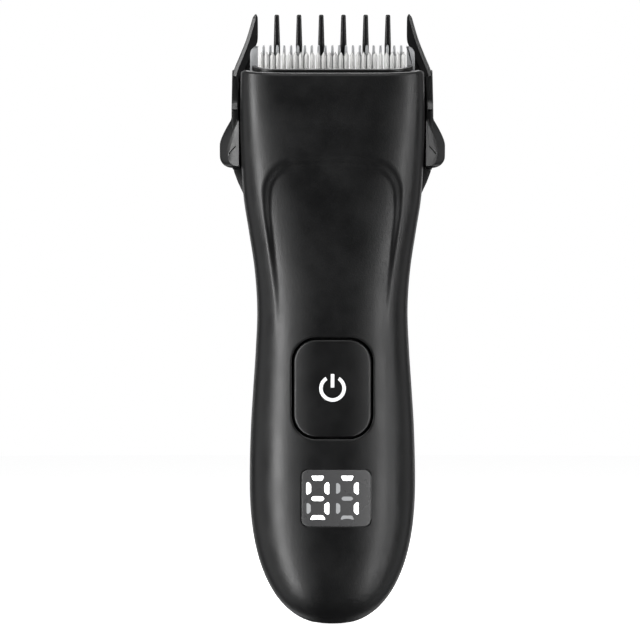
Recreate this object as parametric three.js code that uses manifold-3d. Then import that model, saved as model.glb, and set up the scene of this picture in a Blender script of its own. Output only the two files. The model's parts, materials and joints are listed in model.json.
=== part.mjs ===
// A cordless body groomer: a rounded two-shell handle with a push button and a charge display,
// a pull-off ceramic blade head driven by an eccentric on a small motor, and a clip-on guide comb.
// Millimetres, +Z up along the handle, the button side faces -Y, origin at the centre of the base.
import * as THREE from 'three';
import { mergeVertices } from 'three/addons/utils/BufferGeometryUtils.js';
import Module from 'manifold-3d';

const wasm = await Module();
wasm.setup();

// ---------------------------------------------------------------- driving dimensions

// Handle and head. The lower end is a superellipse; above it the sizes follow smooth curves.
const END_HEIGHT = 37;          // height of the rounded lower end
const END_WIDTH = 21;           // half width at the top of that end
const END_POWER = 2.35;         // fullness of the rounded end
const END_FRONT = 16.5;         // depth in front of the middle plane
const END_BACK = 16.5;          // depth behind it
const BODY_TOP = 150;           // the body is cut off below this by the rim plane
const HALF_WIDTH = [[37, 21], [50, 20.7], [60, 20.1], [70, 19.45], [80, 19.1], [90, 19.75],
  [100, 21.25], [108, 22.5], [117, 23.1], [128, 23.4], [140, 23.2], [150, 23]];
const FRONT_DEPTH = [[37, 16.5], [60, 15.5], [80, 14], [95, 13], [110, 13.3], [120, 13.5],
  [140, 12], [150, 11]];
const BACK_DEPTH = [[37, 16.5], [60, 16.1], [80, 14.8], [95, 13.2], [110, 10.8], [120, 8.7],
  [140, 4.45], [150, 2.3]];
const SECTION_POWER = [[0, 2.35], [60, 2.4], [100, 2.7], [125, 3.8], [140, 4.8], [150, 4.8]];
const WALL = 2.4;               // shell wall
const SPLIT_Y = 3;              // plane where the two shells meet
const GAP = 0.3;                // clearance between neighbouring pieces

// Arched thumb recess in the front shell.
const ARCH_TOP = 118.2;
const ARCH_SHOULDER = 109.2;
const ARCH_FOOT = 73;
const ARCH_HALF_WIDTHS = { shoulder: 17.8, middle: 16, foot: 14.5 };
const ARCH_DEPTH = 1.35;

// Button and display on the front.
const BUTTON_Z = 60.05;
const BUTTON = { width: 19.5, height: 24.4, radius: 5.7, gap: 0.6, back: 3.3, peg: 1.6, pegEnd: -10.6 };
const BUTTON_TRAVEL = 0.5;
const WINDOW = { width: 17.3, height: 14.2, radius: 1.7, x: 0.9, z: 32.55 };

// Blade head, drawn in a frame tilted forward: y is the skin-side normal, z runs to the tips.
const HEAD_TILT = THREE.MathUtils.degToRad(12);
const HEAD_TIP = new THREE.Vector3(0, 3.5, 147.3);
const RIM = [[-20, 138], [-12, 139.9], [-8.3, 140.7], [20, 140.8]];   // rim of the shells, as Y and Z
const HEAD_FOOT = -18.5;        // lower end of the head frame
const DECK = -6.4;              // upper end of the head frame, behind the rim
const BLADE = { halfWidth: 20.95, thick: 1.2, foot: -22, toothRoot: -6.5, pitch: 1.753, teeth: 21 };
const CUTTER = { teeth: 26, pitch: 1.45, kerf: 0.12, tip: -1.53, valley: -2.9, slit: -7, foot: -11,
  back: -1.45, front: -3.1 };
const CUTTER_TRAVEL = 1;
const COMB_GAP = 0.4;           // comb ribs to the skin side of the fixed blade

// Drive.
const MOTOR = { y: -1.2, radius: 10.1, flat: 7.55, bottom: 84, top: 114.5 };
const DAMPER = { low: 92, high: 98 };
const PIN = { radius: 1, offset: CUTTER_TRAVEL, bottom: 124.5, top: 132 };

// ---------------------------------------------------------------- helpers

// Value of a smooth curve through [height, value] pairs, flat beyond both ends.
function along(points, z) {
  const last = points.length - 1;
  if (z <= points[0][0]) return points[0][1];
  if (z >= points[last][0]) return points[last][1];
  const k = points.findIndex((point) => point[0] > z) - 1;
  const [z0, v0] = points[k];
  const [z1, v1] = points[k + 1];
  const slope = (i) => (i <= 0 || i >= last ? 0
    : (points[i + 1][1] - points[i - 1][1]) / (points[i + 1][0] - points[i - 1][0]));
  const t = (z - z0) / (z1 - z0);
  const span = z1 - z0;
  return v0 * (2 * t ** 3 - 3 * t ** 2 + 1) + slope(k) * span * (t ** 3 - 2 * t ** 2 + t)
    + v1 * (3 * t ** 2 - 2 * t ** 3) + slope(k + 1) * span * (t ** 3 - t ** 2);
}

// A closed three.js geometry as a manifold solid.
function solid(geometry) {
  const bare = geometry.clone();
  bare.deleteAttribute('normal');
  bare.deleteAttribute('uv');
  const merged = mergeVertices(bare, 1e-4);
  return new wasm.Manifold(new wasm.Mesh({
    numProp: 3,
    vertProperties: new Float32Array(merged.attributes.position.array),
    triVerts: new Uint32Array(merged.index.array),
  }));
}

// A manifold solid as a three.js geometry.
function geometryOf(manifold) {
  const mesh = manifold.getMesh();
  const geometry = new THREE.BufferGeometry();
  geometry.setAttribute('position', new THREE.BufferAttribute(mesh.vertProperties, 3));
  geometry.setIndex(new THREE.BufferAttribute(mesh.triVerts, 1));
  geometry.computeVertexNormals();
  return geometry;
}

function union(...solids) {
  return solids.reduce((sum, next) => sum.add(next));
}

function box(low, high) {
  const size = high.map((value, i) => value - low[i]);
  const geometry = new THREE.BoxGeometry(...size);
  geometry.translate(...low.map((value, i) => value + size[i] / 2));
  return solid(geometry);
}

// A cylinder of the given axis ('x', 'y' or 'z') from one end to the other.
function rod(axis, radius, centre, from, to, segments = 20) {
  const geometry = new THREE.CylinderGeometry(radius, radius, to - from, segments);
  const middle = (from + to) / 2;
  if (axis === 'x') geometry.rotateZ(Math.PI / 2).translate(middle, centre[0], centre[1]);
  if (axis === 'y') geometry.translate(centre[0], middle, centre[1]);
  if (axis === 'z') geometry.rotateX(Math.PI / 2).translate(centre[0], centre[1], middle);
  return solid(geometry);
}

function roundedRectangle(width, height, radius) {
  const [x, y] = [width / 2, height / 2];
  const shape = new THREE.Shape();
  shape.moveTo(-x + radius, -y);
  shape.lineTo(x - radius, -y);
  shape.absarc(x - radius, -y + radius, radius, -Math.PI / 2, 0);
  shape.lineTo(x, y - radius);
  shape.absarc(x - radius, y - radius, radius, 0, Math.PI / 2);
  shape.lineTo(-x + radius, y);
  shape.absarc(-x + radius, y - radius, radius, Math.PI / 2, Math.PI);
  shape.lineTo(-x, -y + radius);
  shape.absarc(-x + radius, -y + radius, radius, Math.PI, Math.PI * 1.5);
  return shape;
}

function polygon(points) {
  return new THREE.Shape(points.map(([x, y]) => new THREE.Vector2(x, y)));
}

// Extrude a shape drawn in X and Z along Y, between two Y values.
function throughY(shape, from, to, curveSegments = 5) {
  const geometry = new THREE.ExtrudeGeometry(shape,
    { depth: to - from, bevelEnabled: false, curveSegments });
  geometry.rotateX(Math.PI / 2);
  geometry.translate(0, to, 0);
  return solid(geometry);
}

// Extrude a shape drawn in Y and Z along X, between two X values.
function throughX(shape, from, to, curveSegments = 5) {
  const geometry = new THREE.ExtrudeGeometry(shape,
    { depth: to - from, bevelEnabled: false, curveSegments });
  const [x, y, z] = [new THREE.Vector3(1, 0, 0), new THREE.Vector3(0, 1, 0), new THREE.Vector3(0, 0, 1)];
  geometry.applyMatrix4(new THREE.Matrix4().makeBasis(y, z, x));
  geometry.translate(from, 0, 0);
  return solid(geometry);
}

// Extrude a shape drawn in X and Y along Z, between two Z values.
function throughZ(shape, from, to, curveSegments = 5) {
  const geometry = new THREE.ExtrudeGeometry(shape,
    { depth: to - from, bevelEnabled: false, curveSegments });
  geometry.translate(0, 0, from);
  return solid(geometry);
}

function placed(part, matrix) {
  const geometry = geometryOf(part);
  geometry.applyMatrix4(matrix);
  return solid(geometry);
}

function moved(part, x, y, z) {
  return placed(part, new THREE.Matrix4().makeTranslation(x, y, z));
}

// A solid drawn in the tilted head frame, placed in the object's frame.
const headMatrix = new THREE.Matrix4().makeRotationX(HEAD_TILT).setPosition(HEAD_TIP);
function fromHead(part) {
  return placed(part, headMatrix);
}

// ---------------------------------------------------------------- body surface

// Half width, front depth and back depth of the body at one height, taken in by an inset.
function bodySize(z, inset, recess) {
  if (z < END_HEIGHT) {
    const drop = Math.max(END_HEIGHT - z, 0) / (END_HEIGHT - inset);
    const full = Math.max(1 - drop ** END_POWER, 0) ** (1 / END_POWER);
    const open = Math.max(full, 0.09);
    return [(END_WIDTH - inset) * open, (END_FRONT - inset) * open, (END_BACK - inset) * open];
  }
  return [along(HALF_WIDTH, z) - inset, along(FRONT_DEPTH, z) - inset - recess,
    along(BACK_DEPTH, z) - inset];
}

// Depth of the thumb recess: a thin edge at its foot, full depth at the shoulder.
function recessDepth(z) {
  return 0.1 + (ARCH_DEPTH - 0.1) * THREE.MathUtils.smoothstep(z, ARCH_FOOT - 3, ARCH_SHOULDER + 4);
}

// The whole body as one solid, offset inwards by an inset, closed at the top.
function bodySolid(inset, { recessed = false, segments = 32, endRows = 7, rows = 14 } = {}) {
  const total = endRows + rows;
  const geometry = new THREE.CylinderGeometry(1, 1, 1, segments, total);
  const position = geometry.attributes.position;
  for (let i = 0; i < position.count; i += 1) {
    const row = Math.round((position.getY(i) + 0.5) * total);
    const z = row <= endRows
      ? END_HEIGHT - (END_HEIGHT - inset) * Math.cos((row / endRows) * (Math.PI / 2))
      : END_HEIGHT + ((row - endRows) / rows) * (BODY_TOP - END_HEIGHT);
    const radius = Math.hypot(position.getX(i), position.getZ(i));
    const angle = Math.atan2(position.getZ(i), position.getX(i));
    const [width, front, back] = bodySize(z, inset, recessed ? recessDepth(z) : 0);
    const power = 2 / along(SECTION_POWER, z);
    const c = Math.cos(angle);
    const s = Math.sin(angle);
    const x = radius * width * Math.sign(c) * Math.abs(c) ** power;
    const y = radius * (s < 0 ? front : back) * Math.sign(s) * Math.abs(s) ** power;
    position.setXYZ(i, radius < 1e-6 ? 0 : x, radius < 1e-6 ? 0 : y, z);
  }
  // The cylinder's rows now run up +Z instead of +Y, which turns its faces inside out.
  const index = geometry.index.array;
  for (let i = 0; i < index.length; i += 3) [index[i], index[i + 1]] = [index[i + 1], index[i]];
  return solid(geometry);
}

// ---------------------------------------------------------------- looks of the materials

const looks = {
  shell: { color: 0x17181a, roughness: 0.45, metalness: 0 },
  button: { color: 0x1b1c1f, roughness: 0.35, metalness: 0 },
  mark: { color: 0xe4e5e8, roughness: 0.5, metalness: 0 },
  window: { color: 0x3b3d40, roughness: 0.3, metalness: 0 },
  comb: { color: 0x141517, roughness: 0.38, metalness: 0 },
  steel: { color: 0xc9cbce, roughness: 0.3, metalness: 1 },
  ceramic: { color: 0xf2f3f3, roughness: 0.2, metalness: 0 },
  nylon: { color: 0xdcdcd6, roughness: 0.5, metalness: 0 },
  frame: { color: 0x3a3c40, roughness: 0.6, metalness: 0 },
  rubber: { color: 0x202124, roughness: 0.8, metalness: 0 },
  board: { color: 0x1d5b36, roughness: 0.4, metalness: 0 },
  cell: { color: 0x2f62a3, roughness: 0.4, metalness: 0 },
  brass: { color: 0xc2a35a, roughness: 0.35, metalness: 1 },
};

const groomer = new THREE.Group();
const bladeHead = new THREE.Group();
bladeHead.rotation.x = HEAD_TILT;
bladeHead.position.copy(HEAD_TIP);
groomer.add(bladeHead);

function addPiece(group, name, part, look) {
  const mesh = new THREE.Mesh(geometryOf(part), new THREE.MeshStandardMaterial(looks[look]));
  mesh.name = name;
  group.add(mesh);
}

const LEFT_RIGHT = [['left', -1], ['right', 1]];

// ---------------------------------------------------------------- shells

const REACH = 80;               // larger than the object, for cutting half spaces
const belowRim = throughX(polygon([...RIM, [20, -REACH], [-20, -REACH]]), -REACH, REACH);
const COARSE = { segments: 24, endRows: 4, rows: 10 };   // for faces inside the shells
const body = bodySolid(0).intersect(belowRim);
const cavity = bodySolid(WALL, COARSE);

const SEAL = { outer: 0.9, inner: 1.6, halfDepth: 0.8, top: 122 };
const PORT = { y: -1.5, low: 0.8, width: 10.6, height: 4.9 };
const SCREW = { x: 12.3, z: 77.5, boss: 2.5, hole: 1.05, head: 2, pocket: 2.3, seat: 10.6 };

// The groove for the seal between the shells, or the seal itself with a smaller clearance.
function sealRing(clearance) {
  const ring = bodySolid(SEAL.outer - clearance, COARSE)
    .subtract(bodySolid(SEAL.inner + clearance, COARSE));
  const depth = SEAL.halfDepth + clearance;
  return ring.intersect(box([-REACH, SPLIT_Y - depth, -1],
    [REACH, SPLIT_Y + depth, SEAL.top + clearance]));
}
const sealGroove = sealRing(GAP);

function archRecess() {
  const { shoulder, middle, foot } = ARCH_HALF_WIDTHS;
  const shape = new THREE.Shape();
  shape.moveTo(-foot, ARCH_FOOT);
  shape.splineThru([new THREE.Vector2(-middle + 0.6, 88), new THREE.Vector2(-middle - 0.2, 96),
    new THREE.Vector2(-shoulder, ARCH_SHOULDER - 2)]);
  shape.bezierCurveTo(-shoulder - 0.4, 115, -shoulder + 4, ARCH_TOP - 1, -9, ARCH_TOP - 0.3);
  shape.quadraticCurveTo(0, ARCH_TOP + 0.6, 9, ARCH_TOP - 0.3);
  shape.bezierCurveTo(shoulder - 4, ARCH_TOP - 1, shoulder + 0.4, 115, shoulder, ARCH_SHOULDER - 2);
  shape.splineThru([new THREE.Vector2(middle + 0.2, 96), new THREE.Vector2(middle - 0.6, 88),
    new THREE.Vector2(foot, ARCH_FOOT)]);
  return throughY(shape, -REACH / 2, -3, 6).subtract(bodySolid(0, { recessed: true }));
}

function atButton(part) {
  return moved(part, 0, 0, BUTTON_Z);
}

function buttonPrism(grow, from, to) {
  const { width, height, radius } = BUTTON;
  return atButton(throughY(roundedRectangle(width + 2 * grow, height + 2 * grow, radius + grow), from, to));
}

function windowPrism(grow, from, to) {
  const { width, height, radius, x, z } = WINDOW;
  const prism = throughY(roundedRectangle(width + 2 * grow, height + 2 * grow, radius), from, to, 3);
  return moved(prism, x, 0, z);
}

function portPrism(grow, from, to) {
  const { width, height, y } = PORT;
  const shape = roundedRectangle(width + 2 * grow, height + 2 * grow, height / 2 + grow - 0.01);
  return moved(throughZ(shape, from, to, 4), 0, y, 0);
}

function frontShell() {
  const half = box([-REACH, -REACH, -1], [REACH, SPLIT_Y - GAP / 2, 2 * REACH]);
  const bosses = LEFT_RIGHT.map(([, side]) => rod('y', SCREW.boss, [side * SCREW.x, SCREW.z], -12.6,
    SPLIT_Y - 0.6, 16));
  const bores = LEFT_RIGHT.map(([, side]) => rod('y', SCREW.hole, [side * SCREW.x, SCREW.z], -9,
    SPLIT_Y, 12));
  const portCollar = portPrism(1.3, 0.8, 5).intersect(bodySolid(0.3));
  return union(body.subtract(cavity), ...bosses.map((boss) => boss.intersect(bodySolid(0.5))), portCollar)
    .intersect(half)
    .subtract(union(...bores))
    .subtract(archRecess())
    .subtract(buttonPrism(BUTTON.gap, -REACH / 2, -3))
    .subtract(windowPrism(0.15, -REACH / 2, -3))
    .subtract(portPrism(GAP / 2, -1, 12))
    .subtract(fromHead(box([-20.8, -5, -22.6], [20.8, REACH, REACH])))
    .subtract(sealGroove);
}

function rearShell() {
  const half = box([-REACH, SPLIT_Y + GAP / 2, -1], [REACH, REACH, 2 * REACH]);
  const bladeWindow = fromHead(box([-21.3, -REACH, -22.6], [21.3, REACH, REACH]));
  const shoulders = LEFT_RIGHT.map(([, side]) => throughY(polygon([[21.4, 108.5], [22.8, 109.4],
    [24.4, 112.6], [24.75, 115.4], [21.4, 115.4]].map(([x, z]) => [side * x, z])), SPLIT_Y, 8));
  const bosses = LEFT_RIGHT.map(([, side]) => rod('y', SCREW.boss + 1, [side * SCREW.x, SCREW.z],
    SPLIT_Y + 0.6, 14, 16).intersect(bodySolid(0.4)));
  const holes = LEFT_RIGHT.map(([, side]) => union(
    rod('y', SCREW.hole + GAP, [side * SCREW.x, SCREW.z], 0, 20, 12),
    rod('y', SCREW.pocket, [side * SCREW.x, SCREW.z], 7.4, 20, 16),
  ));
  return union(body.subtract(cavity), ...bosses, ...shoulders)
    .intersect(half)
    .subtract(bladeWindow)
    .subtract(union(...holes))
    .subtract(sealGroove);
}

addPiece(groomer, 'front_shell', frontShell(), 'shell');
addPiece(groomer, 'rear_shell', rearShell(), 'shell');
addPiece(groomer, 'shell_seal', sealRing(0), 'rubber');
LEFT_RIGHT.forEach(([name, side]) => {
  const centre = [side * SCREW.x, SCREW.z];
  const screw = union(rod('y', 0.75, centre, -7, 7.8, 12), rod('y', SCREW.head, centre, 7.7, 9, 16));
  addPiece(groomer, `shell_screw_${name}`, screw, 'steel');
  const plug = rod('y', SCREW.pocket - 0.15, centre, 9.3, 20, 16).intersect(bodySolid(0.05));
  addPiece(groomer, `screw_plug_${name}`, plug, 'rubber');
});

// ---------------------------------------------------------------- front controls

// The cap follows the front of the shell, with a wider flange behind the wall to hold it in.
function powerButton() {
  const cap = buttonPrism(0, -REACH / 2, -3).intersect(bodySolid(0.05))
    .subtract(bodySolid(BUTTON.back, COARSE));
  const flange = buttonPrism(1.2, -REACH / 2, -3).intersect(bodySolid(WALL + GAP, COARSE))
    .subtract(bodySolid(BUTTON.back, COARSE));
  const peg = rod('y', BUTTON.peg, [0, BUTTON_Z], -12.6, BUTTON.pegEnd, 16);
  const markRecess = union(markRing(0.1, -REACH / 2, -3), markBar(0.1, -REACH / 2, -3))
    .subtract(bodySolid(0.5));
  return union(cap, flange, peg).subtract(markRecess);
}

// A plain power mark inlaid in the cap: a ring open at the top, and a bar in the opening.
const MARK = { radius: 2.9, stroke: 0.45, open: 0.55, barLow: 0.2, barHigh: 3.6 };
function markRing(grow, from, to) {
  const { radius, stroke, open } = MARK;
  const [up, width] = [Math.PI / 2, stroke + grow];
  const shape = new THREE.Shape();
  shape.absarc(0, 0, radius + width, up + open, up - open + 2 * Math.PI);
  shape.absarc(0, 0, radius - width, up - open, up + open - 2 * Math.PI, true);
  return atButton(throughY(shape, from, to, 16));
}
function markBar(grow, from, to) {
  const { stroke, barLow, barHigh } = MARK;
  return atButton(box([-stroke - grow, from, barLow - grow], [stroke + grow, to, barHigh + grow]));
}

addPiece(groomer, 'power_button', powerButton(), 'button');
[['mark_ring', markRing], ['mark_bar', markBar]].forEach(([name, stroke]) => {
  const inlay = stroke(0, -REACH / 2, -3).intersect(bodySolid(0.05)).subtract(bodySolid(0.35));
  addPiece(groomer, name, inlay, 'mark');
});

const BOARD = { front: -7.9, back: -6.7, low: 21, high: 71, halfWidth: 13 };
const PLUNGER = { radius: 1.2, front: BUTTON.pegEnd + GAP, back: -9.75 };
const SWITCH = { half: 3, front: -9.2 };
const sealInset = BUTTON.back + BUTTON_TRAVEL + GAP;
addPiece(groomer, 'button_seal', buttonPrism(0.6, -REACH / 2, -3).subtract(buttonPrism(-1.6, -REACH, 0))
  .intersect(bodySolid(sealInset, COARSE)).subtract(bodySolid(sealInset + 0.5, COARSE)), 'rubber');
addPiece(groomer, 'switch_plunger', rod('y', PLUNGER.radius, [0, BUTTON_Z], PLUNGER.front, PLUNGER.back, 16),
  'frame');
addPiece(groomer, 'tactile_switch', box([-SWITCH.half, SWITCH.front, BUTTON_Z - SWITCH.half],
  [SWITCH.half, BOARD.front - 0.05, BUTTON_Z + SWITCH.half]), 'steel');
addPiece(groomer, 'main_board', box([-BOARD.halfWidth, BOARD.front, BOARD.low],
  [BOARD.halfWidth, BOARD.back, BOARD.high]), 'board');
addPiece(groomer, 'display_window', windowPrism(0, -REACH / 2, -3)
  .intersect(bodySolid(0.05)).subtract(bodySolid(1.6, COARSE)), 'window');
addPiece(groomer, 'display_module', box([WINDOW.x - 8, -13.1, WINDOW.z - 6.4],
  [WINDOW.x + 8, BOARD.front - GAP, WINDOW.z + 6.4]), 'nylon');

// ---------------------------------------------------------------- power

const CELL = { y: 5.8, radius: 7.1, bottom: 23, top: 71.5, cap: 2.6 };
const TAB = { halfWidth: 2, thick: 0.3, front: CELL.y - 10, back: CELL.y + 2 };
addPiece(groomer, 'battery_cell', union(rod('z', CELL.radius, [0, CELL.y], CELL.bottom, CELL.top, 28),
  rod('z', CELL.cap, [0, CELL.y], CELL.top - 0.5, CELL.top + 1, 20)), 'cell');
[['top', CELL.top + 1 + GAP], ['bottom', CELL.bottom - GAP - TAB.thick]].forEach(([name, low]) => {
  addPiece(groomer, `battery_tab_${name}`, box([-TAB.halfWidth, TAB.front, low],
    [TAB.halfWidth, TAB.back, low + TAB.thick]), 'brass');
});

// Tray that carries the board in front and the cell behind.
function innerFrame() {
  const web = box([-14.5, -6.4, 21], [14.5, -5, 73]);
  const cradle = [22, 40, 58].map((z) => box([-9.5, -6, z + 3], [9.5, 3.4, z + 6]));
  const ends = [box([-6, -6, 74], [6, 9, 75.6]), box([-6, -6, 20], [6, 9, 22])];
  const cell = rod('z', CELL.radius + GAP, [0, CELL.y], CELL.bottom - GAP, CELL.top + GAP, 28);
  const stem = box([-6, -6, 72], [6, -4.5, 75]);
  return union(web, stem, ...cradle, ...ends).subtract(cell);
}
addPiece(groomer, 'inner_frame', innerFrame(), 'frame');

// Charging socket at the foot, inside a soft collar whose flat end seats the plug.
const SOCKET = { width: 8.94, height: 3.26, low: 2.2, high: 9.4 };
function stadium(width, height) {
  return roundedRectangle(width, height, height / 2 - 0.01);
}
function atPort(shape, from, to) {
  return moved(throughZ(shape, from, to, 4), 0, PORT.y, 0);
}
const socketBody = atPort(stadium(SOCKET.width, SOCKET.height), SOCKET.low, SOCKET.high)
  .subtract(atPort(stadium(SOCKET.width - 0.6, SOCKET.height - 0.6), 0, SOCKET.high - 1))
  .add(atPort(polygon([[-3, -0.35], [3, -0.35], [3, 0.35], [-3, 0.35]]), 3.2, SOCKET.high - 0.5));
addPiece(groomer, 'charging_socket', socketBody, 'steel');
addPiece(groomer, 'port_collar', portPrism(0, PORT.low, 5)
  .subtract(atPort(stadium(SOCKET.width + 0.4, SOCKET.height + 0.4), 0, 12)), 'rubber');

// ---------------------------------------------------------------- drive

// The can's section, grown by a clearance: round, with two flats in front and behind.
function motorSection(grow, from, to, segments = 32) {
  const flats = box([-REACH, MOTOR.y - MOTOR.flat - grow, from],
    [REACH, MOTOR.y + MOTOR.flat + grow, to]);
  return rod('z', MOTOR.radius + grow, [0, MOTOR.y], from, to, segments).intersect(flats);
}
const motorBore = rod('z', 1.3, [0, MOTOR.y], 0, 2 * REACH, 16);
addPiece(groomer, 'motor_can', union(
  motorSection(0, MOTOR.bottom + 3, MOTOR.top),
  rod('z', 3, [0, MOTOR.y], MOTOR.top - 1, MOTOR.top + 1.2, 20),
).subtract(motorBore), 'steel');
addPiece(groomer, 'motor_end_cap', motorSection(-0.4, MOTOR.bottom, MOTOR.bottom + 2.7, 28)
  .subtract(motorBore), 'frame');
const damper = motorSection(1.2, DAMPER.low, DAMPER.high, 28)
  .subtract(motorSection(GAP, DAMPER.low - 1, DAMPER.high + 1));
addPiece(groomer, 'motor_damper', damper, 'rubber');
addPiece(groomer, 'motor_shaft', rod('z', 1, [0, MOTOR.y], MOTOR.bottom + 0.6, 121.5, 16), 'steel');

// Mounting plate across the neck, screwed to the motor's face.
const PLATE = { low: 116, high: 117.6, screwX: 6 };
function motorPlate() {
  const plate = throughZ(roundedRectangle(37, 15, 4), PLATE.low, PLATE.high, 4);
  const trimmed = moved(plate, 0, MOTOR.y, 0).intersect(bodySolid(WALL + GAP));
  const holes = [rod('z', 3.3, [0, MOTOR.y], 110, 120, 20),
    ...[-1, 1].map((side) => rod('z', 1.2, [side * PLATE.screwX, MOTOR.y], 110, 120, 12))];
  return trimmed.subtract(union(...holes));
}
addPiece(groomer, 'motor_plate', motorPlate(), 'frame');
LEFT_RIGHT.forEach(([name, side]) => {
  const centre = [side * PLATE.screwX, MOTOR.y];
  addPiece(groomer, `motor_screw_${name}`, union(rod('z', 0.8, centre, MOTOR.top + GAP, PLATE.high + 0.4, 12),
    rod('z', 1.6, centre, PLATE.high + GAP, PLATE.high + 1.3, 16)), 'steel');
});
addPiece(groomer, 'shaft_seal', rod('z', 4.1, [0, MOTOR.y], 118, 119.4, 24)
  .subtract(rod('z', 1.3, [0, MOTOR.y], 110, 125, 16)), 'rubber');
const camHub = rod('z', 3.4, [0, MOTOR.y], 120.2, PIN.bottom, 24);
addPiece(groomer, 'eccentric_cam', union(camHub, rod('z', PIN.radius, [PIN.offset, MOTOR.y],
  PIN.bottom - 0.5, PIN.top, 16)).subtract(rod('z', 1.3, [0, MOTOR.y], 119, 121.8, 16)), 'brass');

// ---------------------------------------------------------------- blade head (tilted frame)

const PLUG = { halfWidth: 20.4, front: -13, back: -1.5, radius: 6.5 };
const HEAD_SCREW = { x: 11.3, z: -16.6, shank: 0.85, head: 1.85, bore: 1.2, hole: 2.2 };
const CARRIER = { halfWidth: 7, low: -12.4, high: -7.9, front: -5.2, back: -3.4, pegX: 6, pegZ: -9.2,
  forkInner: 3.3, forkOuter: 4.7, forkFoot: -19 };
const SPRING = { radius: 0.35, halfLength: 10.2, y: -6.1, z: -9 };
const ROOM = { carrier: 8.5, spring: 11, top: -7.6 };     // pocket under the closed top of the head frame

// The part of the head that pushes into the handle, with room for the cutter and its mechanism.
function headFrame() {
  const { halfWidth, front, back, radius } = PLUG;
  const outline = new THREE.Shape();
  outline.moveTo(-halfWidth, back);
  outline.lineTo(-halfWidth, front + radius);
  outline.absarc(-halfWidth + radius, front + radius, radius, Math.PI, Math.PI * 1.5);
  outline.absarc(halfWidth - radius, front + radius, radius, Math.PI * 1.5, Math.PI * 2);
  outline.lineTo(halfWidth, back);
  const screwBores = [-1, 1].map((side) => rod('y', HEAD_SCREW.bore,
    [side * HEAD_SCREW.x, HEAD_SCREW.z], -9, 0, 12));
  return throughZ(outline, HEAD_FOOT, DECK, 5)
    .subtract(box([-REACH, CUTTER.front - 0.4, CUTTER.foot - 0.5], [REACH, 10, 10]))
    .subtract(box([-ROOM.carrier, -12, -REACH], [ROOM.carrier, CUTTER.front + 0.1, ROOM.top]))
    .subtract(box([-ROOM.spring, -6.9, CUTTER.foot - 2], [ROOM.spring, CUTTER.front + 0.1, ROOM.top]))
    .subtract(union(...screwBores));
}

// Steel blade: cheeks at the ends, pointed teeth between them.
function fixedBlade() {
  const { halfWidth, thick, foot, toothRoot, pitch, teeth } = BLADE;
  const [cheekInner, cheekTop, corner] = [18.95, -0.3, 2];
  const [rootHalf, tipHalf] = [0.62, 0.22];
  const shape = new THREE.Shape();
  shape.moveTo(-halfWidth, foot);
  shape.lineTo(halfWidth, foot);
  shape.lineTo(halfWidth, cheekTop - corner);
  shape.absarc(halfWidth - corner, cheekTop - corner, corner, 0, Math.PI / 2);
  shape.lineTo(cheekInner, toothRoot);
  for (let i = teeth - 1; i >= 0; i -= 1) {
    const x = (i - (teeth - 1) / 2) * pitch;
    [[rootHalf, toothRoot], [tipHalf, 0], [-tipHalf, 0], [-rootHalf, toothRoot]]
      .forEach(([side, z]) => shape.lineTo(x + side, z));
  }
  shape.lineTo(-cheekInner, toothRoot);
  shape.absarc(-halfWidth + corner, cheekTop - corner, corner, Math.PI / 2, Math.PI);
  const holes = [-1, 1].map((side) => rod('y', HEAD_SCREW.hole,
    [side * HEAD_SCREW.x, HEAD_SCREW.z], -3, 3, 20));
  return throughY(shape, -thick, 0, 4).subtract(union(...holes));
}

// White ceramic cutter: gabled teeth with narrow slits between them.
function ceramicCutter() {
  const { teeth, pitch, kerf, tip, valley, slit, foot, back, front } = CUTTER;
  const half = (teeth * pitch) / 2;
  const shape = new THREE.Shape();
  shape.moveTo(-half, foot);
  shape.lineTo(half, foot);
  for (let i = teeth - 1; i >= 0; i -= 1) {
    const x = (i + 0.5 - teeth / 2) * pitch;
    const side = pitch / 2 - kerf;
    [[side, slit], [side, valley], [0, tip], [-side, valley], [-side, slit]]
      .forEach(([dx, z]) => shape.lineTo(x + dx, z));
  }
  const pegHoles = [-1, 1].map((side) => rod('y', 1.3, [side * CARRIER.pegX, CARRIER.pegZ], -5, 0, 16));
  return throughY(shape, front, back, 2).subtract(union(...pegHoles));
}

// Carrier behind the cutter, with a fork that straddles the eccentric pin.
function cutterCarrier() {
  const { halfWidth, low, high, front, back, pegX, pegZ, forkInner, forkOuter, forkFoot } = CARRIER;
  const plate = box([-halfWidth, front, low], [halfWidth, back, high]);
  const pegs = [-1, 1].map((side) => rod('y', 1, [side * pegX, pegZ], back - 0.5, -1.9, 16));
  const bridge = box([-forkOuter, -10.5, low], [forkOuter, back, -11.1]);
  const arm = box([forkInner, -10.8, forkFoot], [forkOuter, -5.6, -11.5]);
  return union(plate, bridge, ...pegs, arm, arm.mirror([1, 0, 0]));
}

addPiece(bladeHead, 'head_frame', headFrame(), 'shell');
addPiece(bladeHead, 'fixed_blade', fixedBlade(), 'steel');
addPiece(bladeHead, 'ceramic_cutter', ceramicCutter(), 'ceramic');
addPiece(bladeHead, 'cutter_carrier', cutterCarrier(), 'nylon');
addPiece(bladeHead, 'blade_spring', rod('x', SPRING.radius, [SPRING.y, SPRING.z],
  -SPRING.halfLength, SPRING.halfLength, 12), 'steel');
LEFT_RIGHT.forEach(([name, side]) => {
  const centre = [side * HEAD_SCREW.x, HEAD_SCREW.z];
  addPiece(bladeHead, `blade_screw_${name}`, union(rod('y', HEAD_SCREW.shank, centre, -7.5, -0.6, 12),
    rod('y', HEAD_SCREW.head, centre, -1, -0.1, 20)), 'steel');
});

// ---------------------------------------------------------------- guide comb

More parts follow.
